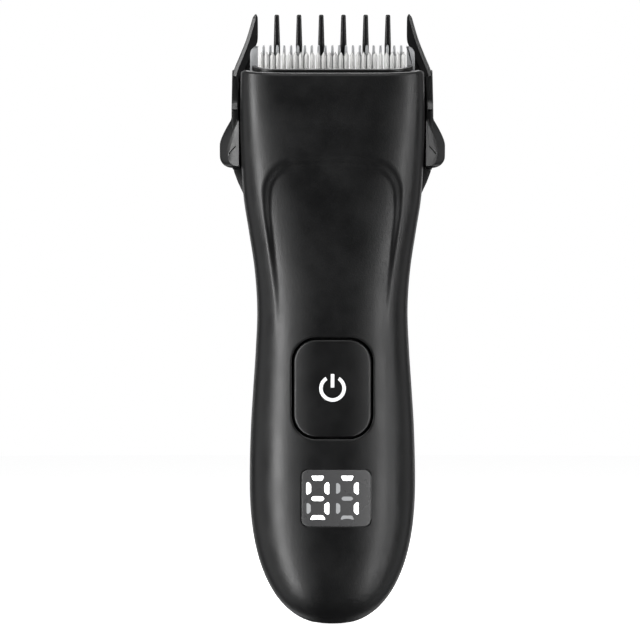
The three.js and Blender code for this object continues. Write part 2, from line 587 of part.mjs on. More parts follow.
const COMB = { ribs: 6, pitch: 5.66, thick: 1.4, inner: 23.75, outer: 25.6, foot: 115.8 };
const COMB_WALL = [[-2.1, COMB.foot], [-2.1, 127], [-3, 128.4], [-1, 132.5], [5.2, 139], [8, 141.5],
  [11.5, 139], [13.6, 133], [13.4, 127], [12.9, 120], [12.3, COMB.foot]];
const COMB_RAIL = [[20.2, -32.2], [25.5, -32.2], [25.5, -8.8], [25, -6.7], [23.7, -3.6], [22, 0.9],
  [20.2, 0.9]];
const COMB_GUSSET = [[25.6, 138], [25.5, 138.7], [25, 140.7], [23.7, 143.8], [21.95, 148.3],
  [20.2, 154.2], [19.7, 156], [19, 156], [19, 147.6], [21.2, 143.6], [22.7, 140.2], [23.75, 137.6]];

// Profile of a comb rib in the tilted frame: round tip, skin side swelling down to the base bar.
function ribShape() {
  const shape = new THREE.Shape();
  shape.moveTo(COMB_GAP, -27);
  shape.lineTo(COMB_GAP, 6.6);
  shape.quadraticCurveTo(COMB_GAP + 0.1, 7.75, 1.2, 7.6);
  shape.quadraticCurveTo(1.9, 7.3, 2.3, 5.2);
  shape.bezierCurveTo(3.6, -1, 6.8, -8, 7, -14);
  shape.quadraticCurveTo(7, -22, 2.6, -27);
  return shape;
}

// Finger lever at the foot of a side wall: a rounded outline that slopes forward to a flat pad,
// which faces forward and outward. Drawn for the right side.
const LEVER = { back: 7, rim: 1, padFront: -3.4, padBack: -1, padSlope: 0.56 };
function lever() {
  const outline = new THREE.Shape();
  outline.moveTo(COMB.inner, 116);
  outline.lineTo(24.9, 116);
  outline.bezierCurveTo(26.6, 116, 28.55, 116.6, 28.62, 118.8);
  outline.lineTo(28.64, 121.6);
  outline.bezierCurveTo(28.64, 123.2, 26.9, 126.2, 26, 127.7);
  outline.bezierCurveTo(25.75, 128.1, COMB.outer, 128.6, COMB.outer, 129.6);
  outline.lineTo(COMB.inner, 129.6);
  const pad = new THREE.Shape();
  pad.moveTo(COMB.inner, 116.2);
  pad.lineTo(25.4, 116.5);
  pad.bezierCurveTo(26.4, 117.2, 26.75, 118.4, 26.75, 119.6);
  pad.bezierCurveTo(26.75, 121.5, 26.2, 123.4, 25, 125.3);
  pad.lineTo(24, 127.3);
  pad.lineTo(COMB.inner, 127.3);
  const reach = 31 - COMB.inner;
  const beyondPad = polygon([[COMB.inner, LEVER.padFront], [31, LEVER.padFront + LEVER.padSlope * reach],
    [31, -REACH], [COMB.inner - 1, -REACH], [COMB.inner - 1, LEVER.padFront]]);
  return wasm.Manifold.hull([throughY(outline, LEVER.rim, LEVER.back, 6),
    throughY(pad, LEVER.padFront, LEVER.padBack, 6)])
    .subtract(throughZ(beyondPad, 0, 2 * REACH));
}

// Ribs, a bar across their feet, and on each side a wall, a flat rail behind it, a gusset and a lever.
function guideComb() {
  const { ribs, pitch, thick, inner, outer } = COMB;
  const parts = [fromHead(box([-outer, COMB_GAP, -27], [outer, 2.5, -21.5]))];
  for (let i = 0; i < ribs; i += 1) {
    const x = (i - (ribs - 1) / 2) * pitch;
    parts.push(fromHead(throughX(ribShape(), x - thick / 2, x + thick / 2, 5)));
  }
  const side = union(
    throughX(polygon(COMB_WALL), inner, outer),
    fromHead(throughY(polygon(COMB_RAIL), 1.2, 2.6)),
    throughY(polygon(COMB_GUSSET), -REACH / 2, REACH / 2)
      .intersect(fromHead(throughX(ribShape(), 18, 27, 5))),
    lever(),
  );
  return union(...parts, side, side.mirror([1, 0, 0]));
}

addPiece(groomer, 'guide_comb', guideComb(), 'comb');

export default groomer;
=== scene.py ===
"""The looks of a cordless body groomer: fine surfaces, materials and studio light around its CAD frame.

Sizes are millimetres in the object's own frame: X across, the front at -Y, Z up. Meshes are made in metres.
The blade head is drawn in its own frame (X across, Y out of its skin side, Z along the teeth) and tilted.
"""
import json
import math

import bmesh
import bpy
import numpy as np
from mathutils import Matrix, Vector


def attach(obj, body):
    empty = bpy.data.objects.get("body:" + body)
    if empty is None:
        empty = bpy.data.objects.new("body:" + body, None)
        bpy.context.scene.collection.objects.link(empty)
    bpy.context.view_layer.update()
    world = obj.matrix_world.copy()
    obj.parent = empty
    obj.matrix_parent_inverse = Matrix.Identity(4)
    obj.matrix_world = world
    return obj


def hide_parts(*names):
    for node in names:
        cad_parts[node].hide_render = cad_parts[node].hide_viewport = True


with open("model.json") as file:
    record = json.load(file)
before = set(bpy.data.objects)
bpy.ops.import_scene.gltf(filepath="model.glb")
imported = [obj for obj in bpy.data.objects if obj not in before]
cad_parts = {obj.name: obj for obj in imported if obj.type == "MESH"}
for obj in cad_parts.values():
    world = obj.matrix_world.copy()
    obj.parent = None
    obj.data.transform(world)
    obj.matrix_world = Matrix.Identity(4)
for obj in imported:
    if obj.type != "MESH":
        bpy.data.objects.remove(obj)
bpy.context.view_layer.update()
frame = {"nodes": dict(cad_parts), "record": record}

MM = 0.001

# ------------------------------------------------------------------ driving dimensions

# The lower end of the body is a rounded cap; above it the sizes run through (height, value) pairs.
END_HEIGHT, END_WIDTH, END_DEPTH, END_POWER = 37.0, 21.0, 16.5, 2.35
HALF_WIDTH = [(37, 21), (50, 20.7), (60, 20.1), (70, 19.45), (80, 19.1), (90, 19.75),
              (100, 21.25), (108, 22.5), (117, 23.1), (128, 23.4), (140, 23.2), (150, 23)]
FRONT_DEPTH = [(37, 16.5), (60, 15.5), (80, 14), (95, 13), (110, 13.3), (120, 13.5),
               (140, 12), (150, 11)]
BACK_DEPTH = [(37, 16.5), (60, 16.1), (80, 14.8), (95, 13.2), (110, 10.8), (120, 8.7),
              (140, 4.45), (150, 2.3)]
SECTION_POWER = [(0, 2.35), (60, 2.4), (100, 2.7), (125, 3.8), (140, 4.8), (150, 4.8)]
RIM = [(-20, 137.6), (-12, 139.5), (-8.3, 140.3), (20, 140.45)]      # height of the rim along Y
WALL = 2.4
SPLIT_Y, SPLIT_GAP = 3.0, 0.3   # plane between the two shells, and the seal between them
BUTTON_Z = 60.05
WINDOW_X, WINDOW_Z = 0.9, 32.55
SCREW = {"x": 12.3, "z": 77.5, "pocket": 2.3, "floor": 7.4}
SHOULDER = [(21.4, 108.5), (22.6, 109.2), (24.1, 112.4), (25.1, 115.1), (25.1, 115.7), (21.4, 115.7)]
SHOULDER_BACK = 8
PORT = {"y": -1.5, "width": 10.8, "height": 5.1}

HEAD_TILT = math.radians(12)
HEAD_TIP = Vector((0, 3.5, 147.3))
HEAD = Matrix.Translation(HEAD_TIP) @ Matrix.Rotation(HEAD_TILT, 4, "X")
BEYOND = 30                     # well outside the part being cut
# Sizes from here to CUTTER are in the head's frame.
PLUG = {"half": 20.4, "front": -13, "back": -1.5, "radius": 6.5, "foot": -18.5}
DECK, LIP_TOP = -6.4, -4.3
ROOM = {"carrier": 8.5, "spring": 11, "front": -12, "spring_front": -6.9, "top": -7.6}
HEAD_SCREW = {"x": 11.3, "z": -16.6, "head": 1.85, "shank": 0.85, "bore": 1.2, "hole": 2.2}
BLADE = {"half": 20.95, "thick": 1.2, "foot": -22, "root": -6.5, "top": -0.3, "corner": 2, "cheek": 18.95,
         "pitch": 1.753, "teeth": 21}
CUTTER = {"teeth": 26, "pitch": 1.45, "kerf": 0.12, "tip": -1.53, "valley": -2.6, "slit": -7, "foot": -11,
          "front": -3.1, "back": -1.45, "hole_x": 6, "hole_z": -9.2, "hole": 1.3}

COMB = {"ribs": 6, "pitch": 5.66, "thick": 1.4, "inner": 23.75, "outer": 25.6, "foot": 115.8, "gap": 0.4}
BASE_BAR = {"low": -27, "high": -21.5, "back": 2.5}
SIDE_WALL = [(-2.1, COMB["foot"]), (-2.1, 130), (-0.8, 132.8), (5.2, 139), (8, 141.5), (11.5, 139),
             (13.6, 133), (13.4, 127), (12.9, 120), (12.3, COMB["foot"])]
STRUT_OUTER = [(137.6, 25.6), (138.7, 25.5), (140.7, 25), (143.8, 23.7), (148.3, 21.95), (154.2, 20.2),
               (155, 20)]
STRUT_INNER = [(137.6, 23.75), (140.2, 22.7), (143.6, 21.2), (147.6, 19.2), (149, 19), (155, 19)]
RAIL = [(20.2, -32.55), (25.5, -32.55), (25.5, -8.8), (25, -6.7), (23.7, -3.6), (22, 0.9), (20.2, 0.9)]
LEVER = {"back": 7, "rim": 1, "front": -3.4, "slope": 0.52, "groove_x": 25.35, "groove_z": 120.3}
NUB = {"outline": [(24.2, -2.9), (25.45, -2.4), (25.45, -0.8), (24.2, -0.8)], "low": 130.6, "high": 132.2}


def along(points, z):
    """Value at height z of a smooth curve through (height, value) pairs, flat beyond both ends."""
    heights, values = np.array(points, float).T
    z = np.asarray(z, float)
    slopes = np.zeros(len(heights))
    slopes[1:-1] = (values[2:] - values[:-2]) / (heights[2:] - heights[:-2])
    k = np.clip(np.searchsorted(heights, z, side="right") - 1, 0, len(heights) - 2)
    span = heights[k + 1] - heights[k]
    t = np.clip((z - heights[k]) / span, 0, 1)
    return (values[k] * (2 * t ** 3 - 3 * t ** 2 + 1) + slopes[k] * span * (t ** 3 - 2 * t ** 2 + t)
            + values[k + 1] * (3 * t ** 2 - 2 * t ** 3) + slopes[k + 1] * span * (t ** 3 - t ** 2))


def smoothstep(value, low, high):
    t = np.clip((np.asarray(value, float) - low) / (high - low), 0, 1)
    return t * t * (3 - 2 * t)


def body_size(z):
    """Half width, front depth and back depth of the body at height z."""
    z = np.asarray(z, float)
    drop = np.clip((END_HEIGHT - z) / END_HEIGHT, 0, 1)
    opening = np.clip(1 - drop ** END_POWER, 0, 1) ** (1 / END_POWER)
    low = z < END_HEIGHT
    return (np.where(low, END_WIDTH * opening, along(HALF_WIDTH, z)),
            np.where(low, END_DEPTH * opening, along(FRONT_DEPTH, z)),
            np.where(low, END_DEPTH * opening, along(BACK_DEPTH, z)))


def body_point(angle, z):
    """Point of the body's outer skin. Angle 0 is +X, -90 degrees the front, 90 degrees the back."""
    width, front, back = body_size(z)
    power = 2 / along(SECTION_POWER, z)
    c, s = np.cos(angle), np.sin(angle)
    x = width * np.sign(c) * np.abs(c) ** power
    y = np.where(s < 0, front, back) * np.sign(s) * np.abs(s) ** power
    return np.stack([x, y, z + 0 * x], -1)


def section_share(x, z):
    """Share of its full depth that the body has at a point in X and Z."""
    power = along(SECTION_POWER, z)
    return np.clip(1 - np.abs(x / body_size(z)[0]) ** power, 0, 1) ** (1 / power)


def front_y(x, z):
    return -body_size(z)[1] * section_share(x, z)


def back_y(x, z):
    return body_size(z)[2] * section_share(x, z)


def rim_z(y):
    """Height of the rim of the shells at a given Y: it slopes up from the front, then runs level."""
    places, heights = zip(*RIM)
    return np.interp(y, places, heights)


# ------------------------------------------------------------------ mesh helpers

SMOOTH_ANGLE = 35               # degrees between faces up to which an edge looks smooth


def shade(bm, smooth_angle):
    """Smooth faces, with sharp edges above an angle."""
    limit = math.radians(smooth_angle)
    for face in bm.faces:
        face.smooth = True
    for edge in bm.edges:
        edge.smooth = edge.calc_face_angle(0) < limit


def make_object(name, bm, smooth_angle=SMOOTH_ANGLE):
    """A mesh object in the scene from a bmesh in millimetres, which is freed."""
    bmesh.ops.scale(bm, vec=(MM, MM, MM), verts=bm.verts)
    bmesh.ops.recalc_face_normals(bm, faces=bm.faces)
    shade(bm, smooth_angle)
    mesh = bpy.data.meshes.new(name)
    bm.to_mesh(mesh)
    bm.free()
    piece = bpy.data.objects.new(name, mesh)
    bpy.context.scene.collection.objects.link(piece)
    return piece


def resharpen(piece, smooth_angle=SMOOTH_ANGLE):
    """Mark the smooth and sharp edges again after a boolean."""
    bm = bmesh.new()
    bm.from_mesh(piece.data)
    shade(bm, smooth_angle)
    bm.to_mesh(piece.data)
    bm.free()


def boolean(piece, other, operation="DIFFERENCE"):
    """Cut or join two closed meshes, and drop the second."""
    modifier = piece.modifiers.new("cut", "BOOLEAN")
    modifier.operation, modifier.object, modifier.solver = operation, other, "MANIFOLD"
    bpy.context.view_layer.update()
    graph = bpy.context.evaluated_depsgraph_get()
    mesh = bpy.data.meshes.new_from_object(piece.evaluated_get(graph))
    if not mesh.polygons:
        raise RuntimeError(f"boolean on {piece.name} left nothing")
    piece.modifiers.clear()
    piece.data = mesh
    bpy.data.objects.remove(other)
    return piece


def joined_mesh(parts):
    """Several bmeshes as one, the first of them."""
    whole = parts[0]
    for part in parts[1:]:
        mesh = bpy.data.meshes.new("part")
        part.to_mesh(mesh)
        part.free()
        whole.from_mesh(mesh)
        bpy.data.meshes.remove(mesh)
    return whole


def joined(parts, name):
    return make_object(name, joined_mesh(parts))


def paint(piece, name):
    """Give an object one material."""
    piece.data.materials.clear()
    piece.data.materials.append(MATERIALS[name])


def finished(piece, body, slot, node):
    """Put a piece in the place of a CAD node, on its body and in its material slot."""
    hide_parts(node)
    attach(piece, body)
    paint(piece, slot)


def moved(bm, matrix, name="moved"):
    """A mesh object from a bmesh that is first turned and moved by a matrix in millimetres."""
    bmesh.ops.transform(bm, matrix=matrix, verts=bm.verts)
    return make_object(name, bm)


def place_head(piece, body, slot, node):
    """Turn a piece that was drawn in the head frame into place, and finish it."""
    piece.data.transform(Matrix.Scale(MM, 4) @ HEAD @ Matrix.Scale(1 / MM, 4))
    finished(piece, body, slot, node)


def add_grid(bm, points, flip=False, ring=False):
    """Quads over a grid of points (rows, columns, 3), closed on itself if it is a ring of columns."""
    rows, columns = points.shape[:2]
    verts = [[bm.verts.new(points[i, j]) for j in range(columns)] for i in range(rows)]
    for i in range(rows - 1):
        for j in range(columns if ring else columns - 1):
            k = (j + 1) % columns
            quad = [verts[i][j], verts[i][k], verts[i + 1][k], verts[i + 1][j]]
            bm.faces.new(quad[::-1] if flip else quad)
    return verts


def capped_grid(rows):
    """A closed tube through rings of points, with a face across each end."""
    bm = bmesh.new()
    grid = add_grid(bm, np.array(rows), ring=True)
    bm.faces.new(grid[0])
    bm.faces.new(grid[-1][::-1])
    return bm


def rounded_rectangle(width, height, radius, per_corner, straight):
    """Points round a rounded rectangle centred on the origin, counterclockwise."""
    points = []
    x, y = width / 2 - radius, height / 2 - radius
    corners = [(x, -y), (x, y), (-x, y), (-x, -y)]
    for k, corner in enumerate(corners):
        end = 90 * k
        points += arc(corner, radius, end - 90, end, per_corner)
        tip = np.array(points[-1])
        goal = np.array(arc(corners[(k + 1) % 4], radius, end, end + 90, 1)[0])
        points += [tuple(tip + (goal - tip) * i / straight) for i in range(1, straight)]
    return np.array(points)


def rectangle_distance(x, z, centre, width, height, radius):
    """Signed distance to a rounded rectangle, negative inside."""
    qx = np.abs(x - centre[0]) - (width / 2 - radius)
    qz = np.abs(z - centre[1]) - (height / 2 - radius)
    outside = np.hypot(np.maximum(qx, 0), np.maximum(qz, 0))
    return outside + np.minimum(np.maximum(qx, qz), 0) - radius


def fillet(distance, radius):
    """How far a rounded edge has dropped at a distance from the edge line."""
    reach = np.clip(radius - distance, 0, radius)
    return radius - np.sqrt(radius ** 2 - reach ** 2)


def bridge(bm, lower, upper):
    """Quads between two closed loops of as many vertices."""
    count = len(lower)
    for i in range(count):
        k = (i + 1) % count
        bm.faces.new([lower[i], lower[k], upper[k], upper[i]])


def prism(outline, low, high, axis="y", bevel=0.0, segments=2):
    """A closed prism: an outline in the plane across an axis, from low to high along it."""
    order = {"x": lambda a, b, d: (d, a, b), "y": lambda a, b, d: (a, d, b), "z": lambda a, b, d: (a, b, d)}
    place = order[axis]
    bm = bmesh.new()
    lower = [bm.verts.new(place(a, b, low)) for a, b in outline]
    upper = [bm.verts.new(place(a, b, high)) for a, b in outline]
    bridge(bm, lower, upper)
    bm.faces.new(lower)
    bm.faces.new(upper)
    bmesh.ops.recalc_face_normals(bm, faces=bm.faces)
    if bevel:
        rims = [edge for edge in bm.edges
                if any(all(vert in end for vert in edge.verts) for end in (lower, upper))]
        bmesh.ops.bevel(bm, geom=rims, offset=bevel, offset_type="OFFSET", segments=segments,
                        profile=0.5, affect="EDGES", clamp_overlap=True)
    return bm


def box_mesh(low, high, bevel=0.0):
    """A box in millimetres between two corners, with its edges rounded by a bevel."""
    bm = bmesh.new()
    middle, size = (Vector(low) + Vector(high)) / 2, Vector(high) - Vector(low)
    bmesh.ops.create_cube(bm, size=1, matrix=Matrix.Translation(middle) @ Matrix.Diagonal((*size, 1)))
    if bevel:
        bmesh.ops.bevel(bm, geom=bm.edges[:], offset=bevel, segments=3, profile=0.5, affect="EDGES")
    return bm


def curve(*parts, steps=10):
    """Points of an outline made of points and curves: ("q", control, end) or ("b", control, control, end)."""
    points = []
    for part in parts:
        if part[0] not in ("q", "b"):
            points.append(np.array(part, float))
            continue
        controls = [points[-1]] + [np.array(p, float) for p in part[1:]]
        degree = len(controls) - 1
        for t in np.linspace(0, 1, steps + 1)[1:]:
            points.append(sum(math.comb(degree, k) * t ** k * (1 - t) ** (degree - k) * p
                              for k, p in enumerate(controls)))
    return [tuple(p) for p in points]


def rounded(outline, radius, steps=3):
    """An outline with each corner replaced by a small curve."""
    points = [np.array(p, float) for p in outline]
    result = []
    for before, corner, after in zip(points[-1:] + points[:-1], points, points[1:] + points[:1]):
        reach = min(radius, np.linalg.norm(before - corner) * 0.45, np.linalg.norm(after - corner) * 0.45)
        start = corner + (before - corner) / np.linalg.norm(before - corner) * reach
        end = corner + (after - corner) / np.linalg.norm(after - corner) * reach
        for t in np.linspace(0, 1, steps + 1):
            result.append(tuple((1 - t) ** 2 * start + 2 * (1 - t) * t * corner + t ** 2 * end))
    return result


def arc(centre, radius, start, end, steps=8):
    """Points of an arc, angles in degrees."""
    angles = np.radians(np.linspace(start, end, steps + 1))
    return [(centre[0] + radius * math.cos(a), centre[1] + radius * math.sin(a)) for a in angles]


def circle(centre, radius, steps=48):
    return arc(centre, radius, 0, 360, steps)[:-1]


def spaced(start, end, step, spots=()):
    """Positions from start to end with a step that is finer near some spots (place, fine step)."""
    growth = 0.22               # how fast the step grows with the distance from a spot
    shortest = 0.3              # a shorter last step than this share is merged with the one before
    places, value = [start], start
    while value < end:
        value += min([step] + [fine + growth * abs(value - place) for place, fine in spots])
        places.append(min(value, end))
    if len(places) > 2 and places[-1] - places[-2] < shortest * step:
        places.pop(-2)
    return np.array(places)


# ------------------------------------------------------------------ materials

GLOSS_SPREAD = 0.06             # roughness varies this much each way
PAINTED_SHADING_HALF = 9                   # half the width over which the window's painted shading goes from darker to lighter


def add_node(nodes, kind, inputs, **settings):
    """A shader node with some of its settings, and then some of its inputs, filled in."""
    node = nodes.new("ShaderNode" + kind)
    for name, value in settings.items():
        setattr(node, name, value)
    for name, value in inputs.items():
        node.inputs[name].default_value = value
    return node


def add_noise(nodes, links, mapping, size, detail, roughness=0.5):
    scale = 1 / (size * MM)
    noise = add_node(nodes, "TexNoise", {"Scale": scale, "Detail": detail, "Roughness": roughness})
    links.new(mapping.outputs["Vector"], noise.inputs["Vector"])
    return noise


def painted_shading_across(nodes, links, where, tone, colour):
    """Painted shading: a tone that goes over into a lighter colour from left to right across the window,
    standing in for how the light falls on it.
    """
    axes = add_node(nodes, "SeparateXYZ", {})
    links.new(where.outputs["Object"], axes.inputs["Vector"])
    across = add_node(nodes, "MapRange", {"From Min": (WINDOW_X - PAINTED_SHADING_HALF) * MM,
                                          "From Max": (WINDOW_X + PAINTED_SHADING_HALF) * MM})
    links.new(axes.outputs["X"], across.inputs["Value"])
    blend = add_node(nodes, "Mix", {"B": (*colour, 1)}, data_type="RGBA")
    links.new(tone.outputs["Result"], blend.inputs["A"])
    links.new(across.outputs["Result"], blend.inputs["Factor"])
    return blend


def material(name, colour, roughness, metallic=0.0, grain=0.2, depth=0.02, mottle=0.2, mottle_size=9.0,
             stretch=(1, 1, 1), emission=0.0, coat=0.0, painted_light_colour=None):
    """A surface with grain in millimetres across and deep, uneven gloss and faintly uneven colour, with painted
    shading across the window when a lighter colour is given.
    """
    mat = bpy.data.materials.new(name)
    mat.use_nodes = True
    nodes, links = mat.node_tree.nodes, mat.node_tree.links
    shader = nodes["Principled BSDF"]
    for entry, value in (("Metallic", metallic), ("IOR", 1.46), ("Coat Weight", coat), ("Coat Roughness", 0.12)):
        shader.inputs[entry].default_value = value
    where = add_node(nodes, "TexCoord", {})
    mapping = add_node(nodes, "Mapping", {"Scale": stretch})
    links.new(where.outputs["Object"], mapping.inputs["Vector"])

    fine = add_noise(nodes, links, mapping, grain, 3.0)
    bump = add_node(nodes, "Bump", {"Strength": 0.6, "Distance": depth * MM})
    links.new(fine.outputs["Fac"], bump.inputs["Height"])
    links.new(bump.outputs["Normal"], shader.inputs["Normal"])

    broad = add_noise(nodes, links, mapping, mottle_size, 5.0, 0.6)
    gloss = add_node(nodes, "MapRange", {"From Min": 0.3, "From Max": 0.7, "To Min": roughness - GLOSS_SPREAD,
                                         "To Max": roughness + GLOSS_SPREAD})
    links.new(broad.outputs["Fac"], gloss.inputs["Value"])
    links.new(gloss.outputs["Result"], shader.inputs["Roughness"])

    both = add_node(nodes, "Math", {}, operation="ADD")
    links.new(fine.outputs["Fac"], both.inputs[0])
    links.new(broad.outputs["Fac"], both.inputs[1])
    mean = add_node(nodes, "Math", {}, operation="MULTIPLY")
    mean.inputs[1].default_value = 0.5
    links.new(both.outputs["Value"], mean.inputs[0])
    tone = add_node(nodes, "Mix", {"A": (*[c * (1 - mottle) for c in colour], 1),
                                   "B": (*[min(c * (1 + mottle), 1) for c in colour], 1)}, data_type="RGBA")
    links.new(mean.outputs["Value"], tone.inputs["Factor"])
    # painted shading: the colour is made darker at the left of the window and lighter at its right
    if painted_light_colour:
        tone = painted_shading_across(nodes, links, where, tone, painted_light_colour)
    links.new(tone.outputs["Result"], shader.inputs["Base Color"])
    if emission:
        shader.inputs["Emission Color"].default_value = (*colour, 1)
        shader.inputs["Emission Strength"].default_value = emission
    return mat


BRUSHED = (1, 1, 0.06)
MATERIALS = {name: material(name, *look, **rest) for name, look, rest in (
    ("shell_black", ((0.003, 0.0031, 0.0033), 0.36), {"grain": 0.34, "depth": 0.045}),
    ("button_black", ((0.0032, 0.0033, 0.0035), 0.34), {"grain": 0.32, "depth": 0.035}),
    ("comb_black", ((0.004, 0.0041, 0.0043), 0.34), {"grain": 0.35, "depth": 0.03}),
    ("mark_white", ((0.86, 0.87, 0.88), 0.4), {"mottle": 0.03}),
    # the smoked window has painted shading, darker at the left and lighter at the right
    ("window_smoke", ((0.042, 0.042, 0.043), 0.3),
     {"grain": 0.6, "depth": 0.004, "painted_light_colour": (0.075, 0.075, 0.076)}),
    ("digits_lit", ((1.0, 1.0, 1.0), 0.4), {"mottle": 0.02, "emission": 2.2}),
    # the unlit segments glow faintly: painted light, since they are no lamp
    ("digits_unlit", ((0.24, 0.245, 0.25), 0.4), {"mottle": 0.08, "emission": 0.5}),
    ("blade_steel", ((0.5, 0.51, 0.52), 0.34, 0.5), {"grain": 0.12, "depth": 0.004, "stretch": BRUSHED}),
    ("steel", ((0.6, 0.61, 0.62), 0.3, 1.0), {"depth": 0.004}),
    ("motor_steel", ((0.5, 0.51, 0.52), 0.36, 1.0), {"grain": 0.15, "depth": 0.004, "stretch": BRUSHED}),
    ("nickel", ((0.66, 0.62, 0.55), 0.3, 1.0), {"depth": 0.004}),
    ("brass", ((0.72, 0.5, 0.2), 0.32, 1.0), {"grain": 0.15, "depth": 0.004}),
    ("ceramic_white", ((0.62, 0.62, 0.61), 0.3), {"mottle": 0.03, "grain": 0.5, "depth": 0.004, "coat": 0.3}),
    ("nylon_white", ((0.7, 0.7, 0.66), 0.5), {"mottle": 0.06, "grain": 0.4, "depth": 0.01}),
    ("frame_grey", ((0.04, 0.042, 0.046), 0.55), {"grain": 0.3}),
    ("rubber_black", ((0.011, 0.011, 0.012), 0.62), {"grain": 0.25}),
    ("board_green", ((0.012, 0.1, 0.035), 0.4), {"grain": 0.6, "depth": 0.01}),
    ("cell_blue", ((0.03, 0.12, 0.36), 0.38), {"grain": 0.8, "depth": 0.006}),
)}


# ------------------------------------------------------------------ handle shells

BUTTON = {"width": 19.5, "height": 24.4, "radius": 5.7, "gap": 0.6, "edge": 0.3}
WINDOW = {"width": 17.3, "height": 14.2, "radius": 1.7, "gap": 0.06, "edge": 0.16}
ARCH = {"foot": 68.0, "shoulder": 110.1, "full": 112, "depth": 1.3, "corner": 8.6, "top": 118.1,
        "crown": 0.5}
ARCH_WIDTH = [(56, 15.4), (64, 15.0), (73, 14.5), (82.3, 14.6), (95, 16.1), (107.9, 17.7), (115, 17.9)]
ROW_STEP, COLUMN_STEP = 0.62, 0.6
INNER_HALF = 12.0               # columns this close to the middle stay at fixed X
NARROW = 19.4                   # where the body is narrower, those columns draw together
COARSE_COLUMNS = 26             # columns on the side that is cut away
WIDEST_SPLIT = math.radians(75)  # the split columns stay below this angle near the lower end
FINE_TO, TILT_FROM = 6.0, 126.0  # rows are denser below the first height, and tilt above the second
RIM_EDGE, SPLIT_EDGE = 0.5, 0.25


def arch_distance(x, z):
    """Distance inside the outline of the thumb recess, positive inside."""
    side = along(ARCH_WIDTH, z) - np.abs(x)
    corner = ARCH["corner"]
    centre_x = along(ARCH_WIDTH, ARCH["shoulder"]) - corner
    centre_z = ARCH["top"] - corner
    crown = ARCH["crown"] * (1 - (np.clip(np.abs(x), 0, centre_x) / centre_x) ** 2)
    top = ARCH["top"] + crown - z
    dx, dz = np.abs(x) - centre_x, z - centre_z
    in_corner = (dx > 0) & (dz > 0)
    return np.where(in_corner, corner - np.hypot(dx, dz), np.minimum(side, top))


def recess(x, z):
    """How deep the thumb recess is at a point of the front."""
    depth = ARCH["depth"] * smoothstep(z, ARCH["foot"], ARCH["full"])
    softness = 1.2 + 2 * smoothstep(z, 102, 117)        # the step is wider round the top
    return depth * smoothstep(arch_distance(x, z), -0.15, softness)


def column_angles(z, back, columns):
    """Angles of the columns round one row: fine on the shell's own side, coarse on the other."""
    width, front, rear = (float(v) for v in body_size(z))
    power = float(along(SECTION_POWER, z))
    split = math.asin(min(SPLIT_Y / max(rear, SPLIT_Y), 1) ** (power / 2))
    split = min(split, WIDEST_SPLIT)
    inner_x = INNER_HALF * min(1, width / NARROW)
    fractions, inner = columns
    turn = math.acos((inner_x / width) ** (power / 2)) if width > 0 else math.pi / 4
    if back:
        path = np.linspace(split, turn, 400) if split < turn else np.full(400, split)
    else:
        path = np.concatenate([np.linspace(split, 0, 160)[:-1], np.linspace(0, -turn, 400)])
    points = body_point(path, np.full(path.shape, z))
    length = np.concatenate([[0], np.cumsum(np.linalg.norm(np.diff(points, axis=0), axis=1))])
    if length[-1] <= 0:
        outer = np.linspace(path[0], path[-1], len(fractions))
    else:
        outer = np.interp(fractions * length[-1], length, path)
    share = np.clip(np.abs(inner) / INNER_HALF * inner_x / max(width, 1e-9), 0, 1)
    middle = np.arccos(share ** (power / 2))
    middle = np.where(inner < 0, math.pi - middle, middle)
    if back:
        middle = np.clip(middle, outer[-1], math.pi - outer[-1])
        own = np.concatenate([outer[:-1], middle[::-1], math.pi - outer[::-1][1:]])
        other = np.linspace(math.pi - split, 2 * math.pi + split, COARSE_COLUMNS)[1:-1]
    else:
        own = np.concatenate([-math.pi - outer[:-1], -middle, outer[::-1][1:]])
        other = np.linspace(split, math.pi - split, COARSE_COLUMNS)[1:-1]
    return np.concatenate([own, other])


def skin(back, rows, columns):
    """Outer skin of the whole body as a grid of points, with its unit normals."""
    tiny = 1e-9
    grid = []
    for z, share in rows:
        angles = column_angles(z, back, columns)
        heights = np.full(angles.shape, float(z))
        for _ in range(4 if share > 0 else 0):      # the height depends on Y, and Y on the height
            points = body_point(angles, heights)
            heights = TILT_FROM + share * (rim_z(points[:, 1]) - TILT_FROM)
        grid.append(body_point(angles, heights))
    grid = np.array(grid)
    wrapped = np.concatenate([grid[:, -1:], grid, grid[:, :1]], axis=1)
    normals = np.cross(wrapped[:, 2:] - wrapped[:, :-2], np.gradient(grid, axis=0))
    size = np.linalg.norm(normals, axis=2, keepdims=True)
    normals = np.where(size > tiny, normals / np.maximum(size, tiny), np.array([0, 0, -1.0]))
    normals[0] = (0, 0, -1)
    return grid, normals


def shell_rows(spots):
    """Row heights: fine at the pole and near features, then a share of the way to the tilted rim."""
    turn = math.acos(1 - FINE_TO / END_HEIGHT)
    foot = END_HEIGHT * (1 - np.cos(np.linspace(0, turn, 26)))
    middle = spaced(FINE_TO, TILT_FROM, ROW_STEP, spots)[1:]
    rim = rim_z(-float(body_size(139.5)[1]))
    top = spaced(TILT_FROM, rim, ROW_STEP, [(rim, 0.06)])[1:]
    rows = [(z, 0) for z in np.concatenate([foot, middle])]
    return rows + [(z, (z - TILT_FROM) / (rim - TILT_FROM)) for z in top]


